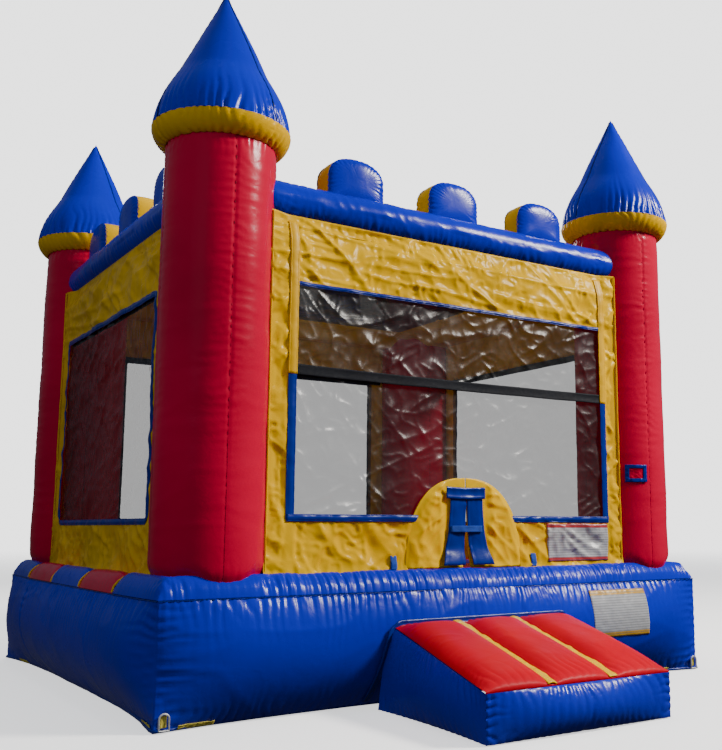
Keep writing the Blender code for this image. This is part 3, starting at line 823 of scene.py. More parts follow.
def make_beam(side, seed):
    """The inflated tube along the top of one wall, from turret to turret."""
    spacing, distance, _ = SIDES[side]
    axis_out = distance + BEAM_OUT
    angle, share = np.meshgrid(np.linspace(0, math.tau, 64, endpoint=False), spread(-1, 1, 0.0105))
    out = axis_out + BEAM_R * np.cos(angle)
    along = share * (spacing - column_reach(distance, out, COLUMN_R - 0.012))
    arc = angle * BEAM_R
    from_top = arc - (math.pi / 2) * BEAM_R
    from_hem = arc - (math.tau - math.radians(52)) * BEAM_R
    relief = puckers(along, from_top, 0.055, 0.13, 0.010, seed) + groove(from_top, 0.004, 0.007)
    relief += puckers(along + 3, from_hem, 0.048, 0.15, 0.012, seed + 4)
    relief += 0.004 * creases((along + 0.35 * arc) * 9, arc * 4, seed + 8, 3.0)
    relief += 0.004 * noise2(along * 3, arc * 3, seed + 9)
    ends = np.minimum(1 + share, 1 - share) * spacing
    relief += puckers(arc + 2, ends - 0.18, 0.05, 0.08, 0.008, seed + 12)
    radius = BEAM_R + relief
    points = placed(side, along, axis_out + radius * np.cos(angle), BEAM_Z + radius * np.sin(angle))
    grid_piece(f"top_beam_{side}", points[:, ::-1], "blue_vinyl", [f"beam_{side}"], 0.95, wrap=True)


def saddle_z(out, axis_out):
    """The height at which a crenellation sits in its beam."""
    reach = np.minimum(np.abs(out - axis_out), BEAM_R * 0.93)
    return BEAM_Z + np.sqrt(BEAM_R**2 - reach**2) - 0.006


def crenel_edge(u):
    """(along, height) of the tombstone outline: u from 0 to 1 over it, from 1 to 1.4 back along its foot."""
    bend = math.pi * np.clip((u - CRENEL_LEG) / (1 - 2 * CRENEL_LEG), 0, 1)
    leg = np.clip(np.minimum(u, 1 - u) / CRENEL_LEG, 0, 1)
    along = -CRENEL_HALF_W * np.sign(np.cos(bend)) * np.abs(np.cos(bend)) ** 0.8
    along = np.where(u > 1, CRENEL_HALF_W * (1 - 2 * (u - 1) / 0.4), along)
    over = CRENEL_SPRING_Z + (CRENEL_TOP_Z - CRENEL_SPRING_Z) * np.sin(bend) ** 0.8
    return along, np.where(leg < 1, CRENEL_FOOT_Z + (CRENEL_SPRING_Z - CRENEL_FOOT_Z) * leg, over)


def make_crenellation(side, number, seed):
    """A padded tombstone astride a beam: a yellow band round its edge and a blue face to each side."""
    _, distance, _ = SIDES[side]
    axis_out, middle_out = distance + BEAM_OUT, distance + CRENEL_OUT
    shift = CRENEL_PITCH * (number - 2)
    u, w = np.meshgrid(spread(0, 1, 0.0125), spread(-1, 1, 0.13))
    along, z = crenel_edge(u)
    across = (1 - np.abs(w)) * CRENEL_HALF_T
    relief = puckers(u * CRENEL_OUTLINE, across, 0.040, 0.035, 0.009, seed) + 0.006 * (1 - w**2) - 0.004
    radial = np.stack([along / CRENEL_HALF_W, (z - CRENEL_SPRING_Z + 0.05) / 0.2], axis=-1)
    radial /= np.linalg.norm(radial, axis=-1, keepdims=True)
    out = middle_out + w * CRENEL_HALF_T
    height = np.maximum(z + radial[..., 1] * relief, saddle_z(out, axis_out))
    points = placed(side, shift + along + radial[..., 0] * relief, out, height)
    grid_piece(f"merlon_band_{side}_{number}", points[:, ::-1], "yellow_vinyl")
    u, depth = np.meshgrid(spread(0, 1.4, 0.0125), spread(0, 1, 0.055))
    edge_along, edge_z = crenel_edge(u)
    core = 1 - depth
    along = edge_along * core
    swell = 0.030 * (1 - core**4) ** 0.6
    for name, face, stands_for in (("outer", 1, [f"crenellation_{side}_{number}"]), ("inner", -1, [])):
        z = CRENEL_SPRING_Z + (edge_z - CRENEL_SPRING_Z) * core
        relief = puckers(u * CRENEL_OUTLINE + 3 * face, depth * 0.17, 0.036, 0.050, 0.018, seed + 9 + face)
        relief *= (u <= 1) * smooth_step(core / 0.3)
        relief += 0.004 * noise2(along * 9, z * 9, seed + 12)
        out = middle_out + face * (CRENEL_HALF_T + swell + relief)
        points = placed(side, shift + along, out, np.maximum(z, saddle_z(out, axis_out) - 0.002))
        points = points[:, ::-face]
        grid_piece(f"merlon_{name}_{side}_{number}", points, "blue_vinyl", stands_for, 0.9, weld=True)


# ---------------------------------------------------------------- walls, windows and roof
def wall_half(side):
    """Half the width of a wall panel, into the turrets at its ends."""
    spacing, distance, _ = SIDES[side]
    return spacing - float(column_reach(distance, distance + WALL_OUT)) + 0.016


def wall_out(distance, z, side_gap=0.0):
    """A wall's outward place: upright, then leaning in to meet the beam, but not beside the turrets."""
    lean = smooth_step((z - WALL_CURVE_Z) / (WALL_TOP_Z - WALL_CURVE_Z)) ** 1.4 * smooth_step(side_gap / 0.16)
    return distance + WALL_OUT + 0.002 + lean * (WALL_TOP_OUT - WALL_OUT) * 0.9


def wall_relief(side, along, z, seed):
    """How far the slack, creased sheet of a wall stands out of its plane."""
    window_half, low, high = WINDOWS[side]
    side_gap = wall_half(side) - np.abs(along)
    relief = slack_relief(along, z, seed, 38 if side in ("front", "left") else -38)
    header_folds = creases((along * 0.35 + 7 * z) * 1.6, along * 0.9, seed + 40, 3.5)
    relief += smooth_step((z - high) / 0.05) * 0.014 * header_folds
    relief += smooth_step((low - z) / 0.05) * 0.012 * creases(along * 9, z * 9, seed + 50, 2.5)
    relief += puckers(along, WALL_TOP_Z - z, 0.060, 0.14, 0.010, seed + 60)
    relief += puckers(z + np.where(along > 0, 5, 0), side_gap, 0.070, 0.09, 0.010, seed + 64)
    for corner_along in (-window_half, window_half):
        for corner_z in (low, high):
            dx, dz = along - corner_along, z - corner_z
            far = np.hypot(dx, dz)
            rays = creases(np.arctan2(dz, dx) * 3.2, far * 0.8, seed + 70, 3.0)
            relief += 0.008 * rays * np.exp(-far / 0.16)
    relief = np.maximum(relief, -0.003 - 0.04 * smooth_step((side_gap - 0.02) / 0.14))
    edge = smooth_step(np.minimum(side_gap, WALL_TOP_Z - z) / 0.03)
    hole = np.maximum(np.abs(along) - window_half, np.maximum(low - z, z - high))
    calm = 0.35 + 0.65 * smooth_step(hole / 0.05)
    if side == "front":
        from_trim = np.abs(np.abs(along) - window_half - 0.012)
        calm *= 0.25 + 0.75 * smooth_step((from_trim - 0.025) / 0.03)
        calm *= 0.15 + 0.85 * smooth_step((arch_measure(along, z) - 1) / 0.3)
    return (relief - 0.003) * edge * calm


def arch_measure(along, z):
    """Below 1 inside the doorway's arch, 1 on it and more outside."""
    return (np.abs(along) / (ARCH_HALF_W - 0.02)) ** 2.4 + (np.maximum(z - 0.7, 0) / 0.59) ** 2.4


def wall_grid_lines(low, high, marks, step):
    """Grid lines from low to high that pass exactly through the marks."""
    stops = sorted({low, high, *[m for m in marks if low < m < high]})
    lines = [spread(a, b, step)[:-1] for a, b in zip(stops[:-1], stops[1:])]
    return np.concatenate([*lines, [high]])


def make_wall(side, seed):
    """One wall's creased sheet round its window, and at the front round the doorway, with trims and net."""
    spacing, distance, _ = SIDES[side]
    window_half, low, high = WINDOWS[side]
    half = wall_half(side)
    front = side == "front"
    marks_x = [-window_half, window_half, *((-ARCH_HALF_W, ARCH_HALF_W) if front else ())]
    step = 0.0092 if front else 0.0125
    share, z = np.meshgrid(
        wall_grid_lines(-half, half, marks_x, step), wall_grid_lines(0.70, WALL_TOP_Z, [low, high], step)
    )
    out = wall_out(distance, z, half - np.abs(share))
    reach = column_reach(distance, out, COLUMN_R - 0.004)
    along = np.clip(share, reach - spacing, spacing - reach)
    floor = floor_height(*np.moveaxis(placed(side, along, out, z), -1, 0)[:2])
    z_bottom = np.maximum(z, floor - 0.006)
    flare = 0.016 * np.exp(-((z_bottom - FLOOR_TOP) / 0.045))
    points = placed(side, along, out + wall_relief(side, along, z, seed) + flare, z_bottom)
    middle_x, middle_z = quad_middles(share), quad_middles(z)
    keep = ~((np.abs(middle_x) < window_half) & (middle_z > low) & (middle_z < high))
    if front:
        keep &= arch_measure(middle_x, middle_z) > 1
    name, nodes = f"wall_panel_{side}", [f"wall_{side}"]
    panel = grid_piece(name, points[:, ::-1], "yellow_vinyl", nodes, keep=keep[:, ::-1], thickness=0.003)
    flat = (round(2 * half, 3), round(WALL_TOP_Z - FLOOR_TOP, 3))
    area = flat[0] * flat[1] - 2 * window_half * (high - low) - (0.42 if front else 0)
    area = max(area, 0.31 * flat[0] * flat[1])
    make_wall_trims(side, seed)
    make_window(side, seed + 5)


def surface_at(side, along, z, seed, lift=0.0):
    """World points on a wall's creased outer face."""
    along, z = np.broadcast_arrays(np.asarray(along, float), np.asarray(z, float))
    out = wall_out(SIDES[side][1], z, wall_half(side) - np.abs(along))
    return placed(side, along, out + wall_relief(side, along, z, seed) + lift, z)


def ribbon(name, side, path, width, seed, material, lift=0.005):
    """A sewn band that follows (along, z) points on a wall, with a row of stitches near each edge."""
    line = np.array(path, float)
    direction = np.gradient(line, axis=0)
    direction /= np.maximum(np.linalg.norm(direction, axis=1, keepdims=True), 1e-9)
    normal = np.stack([-direction[:, 1], direction[:, 0]], axis=1)
    at = line[:, None] + normal[:, None] * (TRIM_W * width / 2)[None, :, None]
    wave = 0.0015 * noise2(np.arange(len(line))[:, None] * 0.7, TRIM_W[None] * 2, seed + 3)
    points = surface_at(side, at[..., 0], at[..., 1], seed, lift + 0.0015 * TRIM_RISE + wave)
    return grid_piece(name, points, material, thickness=0.002)


def rectangle_path(half, low, high, round_r, step=0.02):
    """A closed (along, z) path round a rectangle with rounded corners."""
    points = []
    corners = [(half, high, 0), (-half, high, 90), (-half, low, 180), (half, low, 270)]
    for x, z, start in corners:
        cx, cz = x - math.copysign(round_r, x), (z - round_r) if z == high else (z + round_r)
        for degrees in range(start, start + 91, 15):
            a = math.radians(degrees)
            points.append((cx + round_r * math.cos(a), cz + round_r * math.sin(a)))
    points.append(points[0])
    dense = []
    for (ax, az), (bx, bz) in zip(points[:-1], points[1:]):
        count = max(1, math.ceil(math.hypot(bx - ax, bz - az) / step))
        for i in range(count):
            dense.append((ax + (bx - ax) * i / count, az + (bz - az) * i / count))
    dense.append(dense[0])
    return np.array(dense)


def straight(a, b, step=0.015):
    """A straight path of points from a to b."""
    count = max(2, math.ceil(math.dist(a, b) / step) + 1)
    return np.stack([np.linspace(a[0], b[0], count), np.linspace(a[1], b[1], count)], axis=1)


def make_wall_trims(side, seed):
    """The bands sewn round a window and the piping where the wall meets its turrets."""
    window_half, low, high = WINDOWS[side]
    spacing, distance, _ = SIDES[side]
    if side == "front":
        for name, sign in (("left", -1), ("right", 1)):
            x = sign * (window_half + 0.012)
            path = straight((x, BAND_Z - 0.03), (x, WALL_TOP_Z - 0.04))
            ribbon(f"front_strip_{name}", side, path, 0.055, seed, "yellow_strip", 0.008)
            path = straight((x, low - 0.01), (x, BAND_Z - 0.02))
            ribbon(f"front_side_trim_{name}", side, path, 0.050, seed, "blue_trim")
        for name, sign in (("left", -1), ("right", 1)):
            path = straight((sign * (window_half + 0.035), low), (sign * 0.35, low))
            ribbon(f"front_sill_trim_{name}", side, path, 0.038, seed, "blue_trim", 0.008)
        path = straight((-window_half, high), (window_half, high))
        ribbon("front_head_trim", side, path, 0.022, seed, "blue_trim")
        make_cross_band()
    else:
        path = rectangle_path(window_half, low, high, 0.03)
        ribbon(f"window_trim_{side}", side, path, 0.034, seed, "blue_trim")
        make_head_band(side, window_half, high, seed)
    z = spread(0.75, WALL_TOP_Z - 0.01, 0.015)
    out = wall_out(distance, z)
    beside_turret = spacing - column_reach(distance, out, COLUMN_R + 0.004)
    for name, sign in (("a", -1), ("b", 1)):
        wobble = 0.002 * noise2(z * 14, sign * 3.0, seed + 8)
        line = placed(side, sign * beside_turret, out + 0.005 + wobble, z)
        tube_along(f"wall_piping_{side}_{name}", line, 0.006, "yellow_vinyl")


def make_cross_band():
    """The dark webbing band that runs across the front window's net from trim to trim."""
    half = FRONT_WINDOW[0] + 0.01
    along, w = np.meshgrid(spread(-half, half, 0.015), BAND_W)
    z = BAND_Z + 0.030 * w - 0.006 * (1 - (along / half) ** 2) + 0.002 * noise2(along * 4, w * 0.3, 60)
    out = DOOR_OUT + 0.002 + 0.001 * BAND_RISE[:, None] + 0.002 * noise2(along * 7, w * 0.8, 61)
    points = placed("front", along, out, z)[:, ::-1]
    grid_piece("window_cross_band", points, "black_webbing", thickness=0.003)


def make_head_band(side, window_half, high, seed):
    """The dark band sewn inside along the top of a window."""
    along, w = np.meshgrid(spread(-window_half - 0.10, window_half + 0.10, 0.03), np.linspace(-1, 1, 7))
    z = high + 0.004 + 0.018 * w + 0.004 * noise2(along * 3, w * 0.5, seed + 90)
    inside = 0.040 + 0.006 * (1 - w**2) + 0.003 * noise2(along * 9, w * 2, seed + 91)
    points = placed(side, along, SIDES[side][1] + WALL_OUT - inside, z)
    grid_piece(f"window_head_band_{side}", points, "black_webbing", thickness=0.003)


def make_window(side, seed):
    """The see-through net of one window, slack and puckered to its sewn edge."""
    window_half, low, high = WINDOWS[side]
    half, bottom, top = window_half + NET_LAP, low - NET_LAP, high + NET_LAP
    step = 0.0085 if side == "front" else 0.0125
    along, z = np.meshgrid(spread(-half, half, step), spread(bottom, top, step))
    edge = np.minimum(half - np.abs(along), np.minimum(z - bottom, top - z))
    out = SIDES[side][1] + WALL_OUT - NET_GAP + net_relief(along, z, edge, seed)
    points = placed(side, along, out, z)[:, ::-1]
    net = grid_piece(f"window_net_{side}", points, "black_mesh", [f"window_mesh_{side}"])


def net_relief(u, v, edge, seed):
    """Slack netting: patches of long thin folds that cross at several leans."""
    relief = -0.007
    for number, (lean, depth) in enumerate(((24, 0.011), (-52, 0.010), (68, 0.008))):
        along, across = turned_axes(u, v, lean)
        patch = smooth_step(0.62 + 0.9 * noise2(u * 2.6 + number, v * 2.6, seed + 20 + number))
        relief = relief + depth * patch * creases(along * 4.5, across * 11, seed + 5 * number, 2.5)
    relief += 0.005 * creases(u * 15, v * 15, seed + 9, 2.2)
    belly = -0.008 * smooth_step(edge / 0.5)
    return (relief + belly) * smooth_step(edge / 0.06) - 0.002


def roof_height(x, y):
    """The ceiling's height, sagging towards its middle."""
    centre = np.maximum(np.abs(x) / ROOF_HALF[0], np.abs(y) / ROOF_HALF[1])
    return ROOF_Z - ROOF_SAG * (1 - centre**2)


def make_roof():
    """The ceiling's yellow border, led under the beams to the walls, and the shade net in its middle."""
    half_x, half_y = ROOF_HALF
    hole_x, hole_y = ROOF_HOLE
    x_lines = wall_grid_lines(-half_x, half_x, [-hole_x, hole_x], 0.022)
    y_lines = wall_grid_lines(-half_y, half_y, [-hole_y, hole_y], 0.022)
    x, y = np.meshgrid(x_lines, y_lines)
    outside = np.minimum(half_x - np.abs(x), half_y - np.abs(y))
    under_beam = np.maximum(smooth_step((np.abs(x) - 1.42) / 0.14), smooth_step((np.abs(y) - 1.21) / 0.14))
    slack = slack_relief(x, y, 700, 20) * smooth_step(outside / 0.05) * (1 - 0.7 * under_beam)
    points = np.stack([x, y, roof_height(x, y) - 0.085 * under_beam + slack], axis=-1)
    middle_x, middle_y = quad_middles(x), quad_middles(y)
    keep = ~((np.abs(middle_x) < hole_x) & (np.abs(middle_y) < hole_y))
    for side_x, side_y in CORNERS.values():
        from_column = np.hypot(middle_x - side_x * COLUMN_X, middle_y - side_y * COLUMN_Y)
        keep &= from_column >= COLUMN_R - 0.045
    border = grid_piece("ceiling_border", points, "yellow_vinyl", ["roof_border"], keep=keep, thickness=0.003)
    net_x, net_y = hole_x + 0.02, hole_y + 0.02
    x, y = np.meshgrid(spread(-net_x, net_x, 0.018), spread(-net_y, net_y, 0.018))
    edge = np.minimum(net_x - np.abs(x), net_y - np.abs(y))
    points = np.stack([x, y, roof_height(x, y) - 0.014 - net_relief(x, y, edge, 720)], axis=-1)
    net = grid_piece("ceiling_net", points, "shade_mesh", ["roof_mesh"])


# ---------------------------------------------------------------- door
def arch_edge(share):
    """Half width of the door panel's outline at a share 0 to 1 of its height."""
    return ARCH_HALF_W * np.power(np.maximum(1 - share**2.4, 0), 1 / 2.4)


def make_door_half(side, sign, seed):
    """One half of the half-moon door panel, slit up the middle and puckered at the header patch."""
    share, t = np.meshgrid(spread(0, 1, 0.02), spreads((0, 0.9, 0.018), (0.9, 1, 0.01)))
    z = DOOR_BOTTOM + (ARCH_TOP - DOOR_BOTTOM) * t
    slit = 0.004 + 0.026 * np.clip((1.18 - z) / 0.42, 0, 1) ** 1.5
    outer = np.maximum(arch_edge((z - ARCH_FOOT) / (ARCH_TOP - ARCH_FOOT)), slit + 0.004)
    x = slit + (outer - slit) * share
    far = np.hypot(z - 1.20, x)
    spokes = np.arctan2(z - 1.20, x + 0.03)
    relief = 0.026 * creases(spokes * 5.0, far * 2.0, seed, 1.6) * np.exp(-far / 0.40)
    relief += 0.020 * creases(x * 6, z * 7, seed + 4, 1.3) + 0.010 * creases(x * 15, z * 15, seed + 7, 1.3)
    relief += groove(outer - x, 0.004, 0.02) - 0.014
    curl = 0.014 * smooth_step((0.80 - z) / 0.06) * (1 - share) ** 0.5
    under_strips = 0.08 + 0.92 * smooth_step((x - 0.15) / 0.06)
    body = (0.003 + (0.007 + relief) * under_strips) * smooth_step((outer - x) / 0.06 + 0.1)
    points = np.stack([sign * x, -(DOOR_OUT + 0.005 + body + curl), z], axis=-1)[:, ::sign]
    flap = f"door_flap_{side}"
    blend = ("root", flap, (sign * 0.40, -DOOR_OUT, 1.26), (sign * 0.10, -DOOR_OUT, 0.92))
    obj = grid_piece(f"door_panel_{side}", points, "yellow_band", [flap], blend=blend, thickness=0.003)


def strip_points(sign, seed):
    """A flap's blue edge strip: hangs from the header, its end curling outwards."""
    t, w = np.meshgrid(spread(0, 1, 0.03), FLAP_W)
    z = DOOR_STRIP_TOP + (DOOR_STRIP_BOTTOM - DOOR_STRIP_TOP) * t
    slit = 0.003 + 0.027 * t**1.4
    x = slit + (0.045 * t**3 + DOOR_STRIP_W) * (w + 1) / 2
    curl = 0.030 * smooth_step((t - 0.70) / 0.30) ** 1.3
    sway = 0.006 * creases(w * 1.3 + seed, t * 5, seed, 1.6) + 0.003 * noise2(t * 6, w * 1.5, seed)
    y = -(DOOR_OUT + 0.016 + 0.002 * FLAP_RISE[:, None] + curl + sway)
    return np.stack([sign * x, y, z], axis=-1)[:, ::-sign]


def make_door():
    """Both halves of the door with their edge strips, the header patch and the closing strap."""
    make_door_half("left", -1, 800)
    make_door_half("right", 1, 810)
    for side, sign in (("left", -1), ("right", 1)):
        blend = ("root", f"door_flap_{side}", (sign * 0.34, -DOOR_OUT, 1.24), (sign * 0.07, -DOOR_OUT, 1.02))
        points = strip_points(sign, 820 + sign)
        grid_piece(f"door_edge_{side}", points, "blue_trim", blend=blend, thickness=0.004)
    u, w = np.meshgrid(spread(-1, 1, 0.05), BAND_W)
    z = 1.216 + 0.034 * w - 0.005 * np.cos(u * math.pi / 2)
    y = -(DOOR_OUT + 0.032 + 0.003 * BAND_RISE[:, None] + 0.003 * noise2(u * 4, w, 830))
    header = np.stack([0.148 * u - 0.015, y, z], axis=-1)
    grid_piece("door_header", header[:, ::-1], "blue_trim", thickness=0.004)
    u, w = np.meshgrid(spread(0, 1, 0.06), np.array([-1, -0.7, -0.2, 0.3, 0.8, 1.0]))
    x = STRAP_X[0] + (STRAP_X[1] - STRAP_X[0]) * u
    z = 0.5 * (STRAP_Z[0] + STRAP_Z[1]) + (STRAP_Z[1] - STRAP_Z[0]) / 2 * w
    y = -(DOOR_OUT + 0.032 + 0.006 * np.sin(u * math.pi) + 0.002 * noise2(u * 6, w, 840))
    strap = np.stack([x, y, z], axis=-1)[:, ::-1]
    blend = ("door_flap_left", "door_strap", (-0.10, -DOOR_OUT, 0.99), (0.02, -DOOR_OUT, 0.99))
    grid_piece("door_closing_strap", strap, "blue_webbing", ["door_strap"], blend=blend, thickness=0.004)


# ---------------------------------------------------------------- ramp
def ramp_seam(share, across):
    """A point of the ramp's top-edge seam: share runs from the base to the front, across from -1 to 1."""
    half = RAMP_HALF_W[0] + (RAMP_HALF_W[1] - RAMP_HALF_W[0]) * share
    x = -RAMP_SKEW * share + across * half
    z = RAMP_SEAM_Z[0] + (RAMP_SEAM_Z[1] - RAMP_SEAM_Z[0]) * share
    back = -HALF_D - base_outset(np.clip(x / HALF_W, -1, 1), z) + 0.012
    return x, back + (RAMP_FRONT_Y - back) * share, z


def make_ramp():
    """The ramp's red bed of soft tubes, with yellow strips along the valleys between them."""
    across, share = np.meshgrid(spread(-1, 1, 0.0105), spread(0, 1, 0.009))
    x, y, z = ramp_seam(share, across)
    tube = np.minimum((across + 1) / 2 * RAMP_TUBES, RAMP_TUBES - HAIR)
    v = 2 * (tube - np.floor(tube)) - 1
    lift = RAMP_PUFF * (1 - np.abs(v) ** 3.5) * np.sqrt(np.maximum(0, 1 - share**8))
    lift = lift * (0.25 + 0.75 * smooth_step(share / 0.18)) + 0.006
    down = share * RAMP_LENGTH
    edge_x, edge_y = (1 - np.abs(across)) * 0.63, (1 - share) * RAMP_LENGTH
    relief = puckers(x, edge_y, 0.055, 0.22, 0.011, 900) + puckers(x + 4, down, 0.05, 0.10, 0.012, 904)
    relief += puckers(down + np.where(across > 0, 5, 0), edge_x, 0.05, 0.08, 0.010, 908)
    relief += 0.005 * noise2(x * 4, share * 3, 912) + 0.002 * creases(x * 6, share * 7, 913, 2.0)
    relief *= 0.1 + 0.9 * smooth_step(np.minimum(edge_x, edge_y) / 0.06)
    points = np.stack([x, y, z + lift + relief], axis=-1)
    tuck = points[-1:] + np.array([0.0, 0.006, -0.010])
    points = np.concatenate([points, tuck])
    grid_piece("ramp_bed", points[:, ::-1], "ramp_red", ["ramp_top"], 0.9)
    for number in range(1, RAMP_TUBES):
        share, w = np.meshgrid(spread(0.0, 1.0, 0.012), np.linspace(-1, 1, 8))
        x, y, z = ramp_seam(share, -1 + 2 * number / RAMP_TUBES + w * 0.046)
        rise = 0.010 + 0.003 * (1 - w**2) + 0.004 * noise2(share * 22, w, 920 + number)
        strip = np.stack([x, y, z + 0.015 * np.sqrt(1 - share**10) + rise], axis=-1)
        grid_piece(f"ramp_valley_strip_{number}", strip[:, ::-1], "yellow_band", thickness=0.002)
    make_ramp_body()
    make_ramp_lip()


def ramp_flare(up, share):
    """How far the ramp's sides spread towards the ground where they meet the base."""
    return RAMP_FLARE * np.sqrt(np.clip(1 - up, 0, 1)) * (1 - share) ** 2


def make_ramp_body():
    """The ramp's blue skin: down its left side, across its front and back up its right side."""
    t, front_count = spread(0, 1, 0.007), 111
    ones, across_front = np.ones_like(t), np.linspace(-1, 1, front_count)
    shares = np.concatenate([t, np.ones(front_count), t[::-1]])
    share, up = np.meshgrid(shares, spreads((0, 0.1, 0.05), (0.1, 1, 0.028)))
    across = np.broadcast_to(np.concatenate([-ones, across_front, ones]), share.shape)
    outward = np.broadcast_to(np.concatenate([-ones, np.zeros(front_count), ones]), share.shape)
    x, y, z = ramp_seam(share, across)
    height = z * up
    swell = 0.058 * np.sin(math.pi * np.clip(up, 0, 1)) ** 0.7
    front = (outward == 0).astype(float)
    side_swell = (swell * np.sin(math.pi * share) + ramp_flare(up, share)) * (1 - front)
    front_swell = (swell * (1 - across**2) + 0.004) * front
    front_relief = puckers(x, z - height, 0.055, 0.14, 0.017, 930)
    front_relief += puckers(x + 2, height, 0.055, 0.08, 0.010, 934)
    front_relief += puckers(height * 1.3, 0.62 * (1 - np.abs(across)), 0.05, 0.08, 0.012, 946)
    front_relief += groove(x + 0.17, 0.006, 0.008)
    along_side = share * RAMP_LENGTH + np.where(outward > 0, 4, 0)
    side_relief = puckers(along_side, z - height, 0.050, 0.14, 0.015, 938)
    side_relief += puckers(along_side + 3, height, 0.06, 0.08, 0.010, 942)
    calm = smooth_step((z - height) / 0.02 + 0.2)
    relief = (front * front_relief + (1 - front) * side_relief) * calm
    out_x, out_y = outward * (side_swell + relief), front_swell + relief * front
    points = np.stack([x + out_x, y - out_y, np.maximum(height, 0.003)], axis=-1)
    grid_piece("ramp_sides", points, "blue_vinyl", ["ramp_body"], 0.9)


def make_ramp_lip():
    """The stitched flange that joins the ramp to the base: up one side, over the top and down the other."""
    half, top = RAMP_HALF_W[0] + 0.004, RAMP_SEAM_Z[0] + 0.02
    path = rectangle_path(half, -0.4, top, 0.05, 0.012)
    path = path[path[:, 1] > 0.03]
    start = int(np.argmax(np.hypot(*np.diff(path, axis=0).T))) + 1
    line = np.concatenate([path[start:], path[:start]])
    across = np.gradient(line, axis=0)
    across /= np.maximum(np.linalg.norm(across, axis=1, keepdims=True), 1e-9)
    spread_out = ramp_flare(line[:, 1:] / RAMP_SEAM_Z[0], 0.0) * np.sign(line[:, :1])
    x = line[:, :1] + spread_out - across[:, 1:] * LIP_W * 0.020
    z = np.maximum(line[:, 1:] + across[:, :1] * LIP_W * 0.020, 0.004)
    points = base_side(0, x / HALF_W, z)
    wave = 0.003 * noise2(np.arange(len(line))[:, None] * 0.6, LIP_W[None], 955)
    sunk = np.minimum(base_relief(0, x / HALF_W, z), 0) * 0.3
    moved_out(points, 0, 0.010 + 0.004 * LIP_RISE + wave - sunk)
    grid_piece("ramp_seam_lip", points, "blue_trim", thickness=0.003)


# ---------------------------------------------------------------- small things
def make_base_seams():
    """The cord sewn round the base where its sides meet the floor."""
    s = spread(-1, 1, 0.012)
    for index in range(4):
        line = base_side(index, s, np.full_like(s, SEAM_Z - 0.001))
        moved_out(line, index, 0.004 + 0.002 * noise2(s * 40, index * 3.0, 970))
        tube_along(f"base_seam_{index + 1}", line, 0.0025, "blue_trim", sides=6)


def make_labels():
    """The blank placards on the base and on the front wall."""
    x, z = np.meshgrid(spread(0.89, 1.41, 0.013), spread(*BASE_LABEL_Z, 0.011))
    points = base_side(0, x / HALF_W, z)
    wave = 0.002 * noise2(x * 30, z * 30, 980)
    moved_out(points, 0, 0.006 + base_relief(0, x / HALF_W, z) * 0.5 + wave)
    grid_piece("base_sign", points, "base_label", thickness=0.002)
    x, z = np.meshgrid(spread(0.672, 1.222, 0.013), spread(*WALL_LABEL_Z, 0.011))
    points = surface_at("front", x, z, 1000, 0.012 + 0.002 * noise2(x * 30, z * 30, 980))
    grid_piece("wall_sign", points, "wall_label", thickness=0.002)


def make_tabs():
    """Blue tabs at the foot of the front wall that tie the door panel down."""
    for name, middle in (("left", -0.54), ("right", 0.54)):
        s, w = np.meshgrid(spread(0, 1, 0.05), np.linspace(-1, 1, 5))
        x = middle + 0.021 * w
        y = -(DOOR_OUT + 0.018 + 0.012 * np.sin(math.pi * s) + 0.002 * noise2(s * 8, w, 990))
        z = np.maximum(0.835 - 0.13 * s, floor_height(x, y) + 0.004)
        grid_piece(f"tie_tab_{name}", np.stack([x, y, z], axis=-1), "blue_webbing", thickness=0.003)


def make_pocket():
    """A small pouch on the front right turret: a red front in a blue sewn frame."""
    w, v = np.meshgrid(np.linspace(-1, 1, 34), np.linspace(-1, 1, 26))
    in_frame = (np.abs(quad_middles(w)) > 0.66) | (np.abs(quad_middles(v)) > 0.56)
    angle = math.radians(POCKET_ANGLE) + w * math.radians(14.3)
    wave = 0.002 * noise2(w * 5, v * 5, 995) + 0.004 * np.maximum(v, 0) * (1 - w**2)
    for name, keep, lift, material in (
        ("turret_pocket_frame", in_frame, 0.010, "blue_trim"),
        ("turret_pocket_front", ~in_frame, 0.007, "red_vinyl"),
    ):
        points = ring_points((COLUMN_X, -COLUMN_Y), COLUMN_R + lift + wave, angle, POCKET_Z + 0.061 * v)
        grid_piece(name, points, material, keep=keep, thickness=0.003)


def make_hem_webbing():
    """Short yellow anchor bands sewn along the hem, each at a place along one base side."""
    u, v = np.meshgrid(np.linspace(-1, 1, 30), np.linspace(0, 1, 14))
    z = 0.004 + 0.024 * v
    for number, (index, along, half_width) in enumerate(HEM_BANDS):
        s = (along + u * half_width) / side_half(index)
        lift = 0.009 + base_relief(index, s, z) + 0.002 * noise2(u * 9, v * 9, 1002 + number)
        points = moved_out(base_side(index, s, z), index, lift)
        grid_piece(f"hem_webbing_{number + 1}", points, "yellow_webbing", thickness=0.003)


def make_anchor_tabs():
    """The short webbing tab that holds each corner's ring to the hem."""
    u, v = np.meshgrid(np.linspace(-1, 1, 9), np.linspace(0, 1, 16))
    z = 0.024 + 0.060 * v
    for corner, (side_x, side_y) in CORNERS.items():
        index = 0 if side_y < 0 else 2
        x = side_x * ANCHOR_X + 0.017 * u
        lift = 0.010 + 0.004 * (1 - v) + 0.0012 * noise2(u * 4, v * 6, 1050 + index)
        points = moved_out(base_side(index, -side_y * x / HALF_W, z), index, lift)
        nodes = [f"anchor_strap_{corner}"]
        grid_piece(f"anchor_tab_{corner}", points, "yellow_webbing", nodes, thickness=0.003)


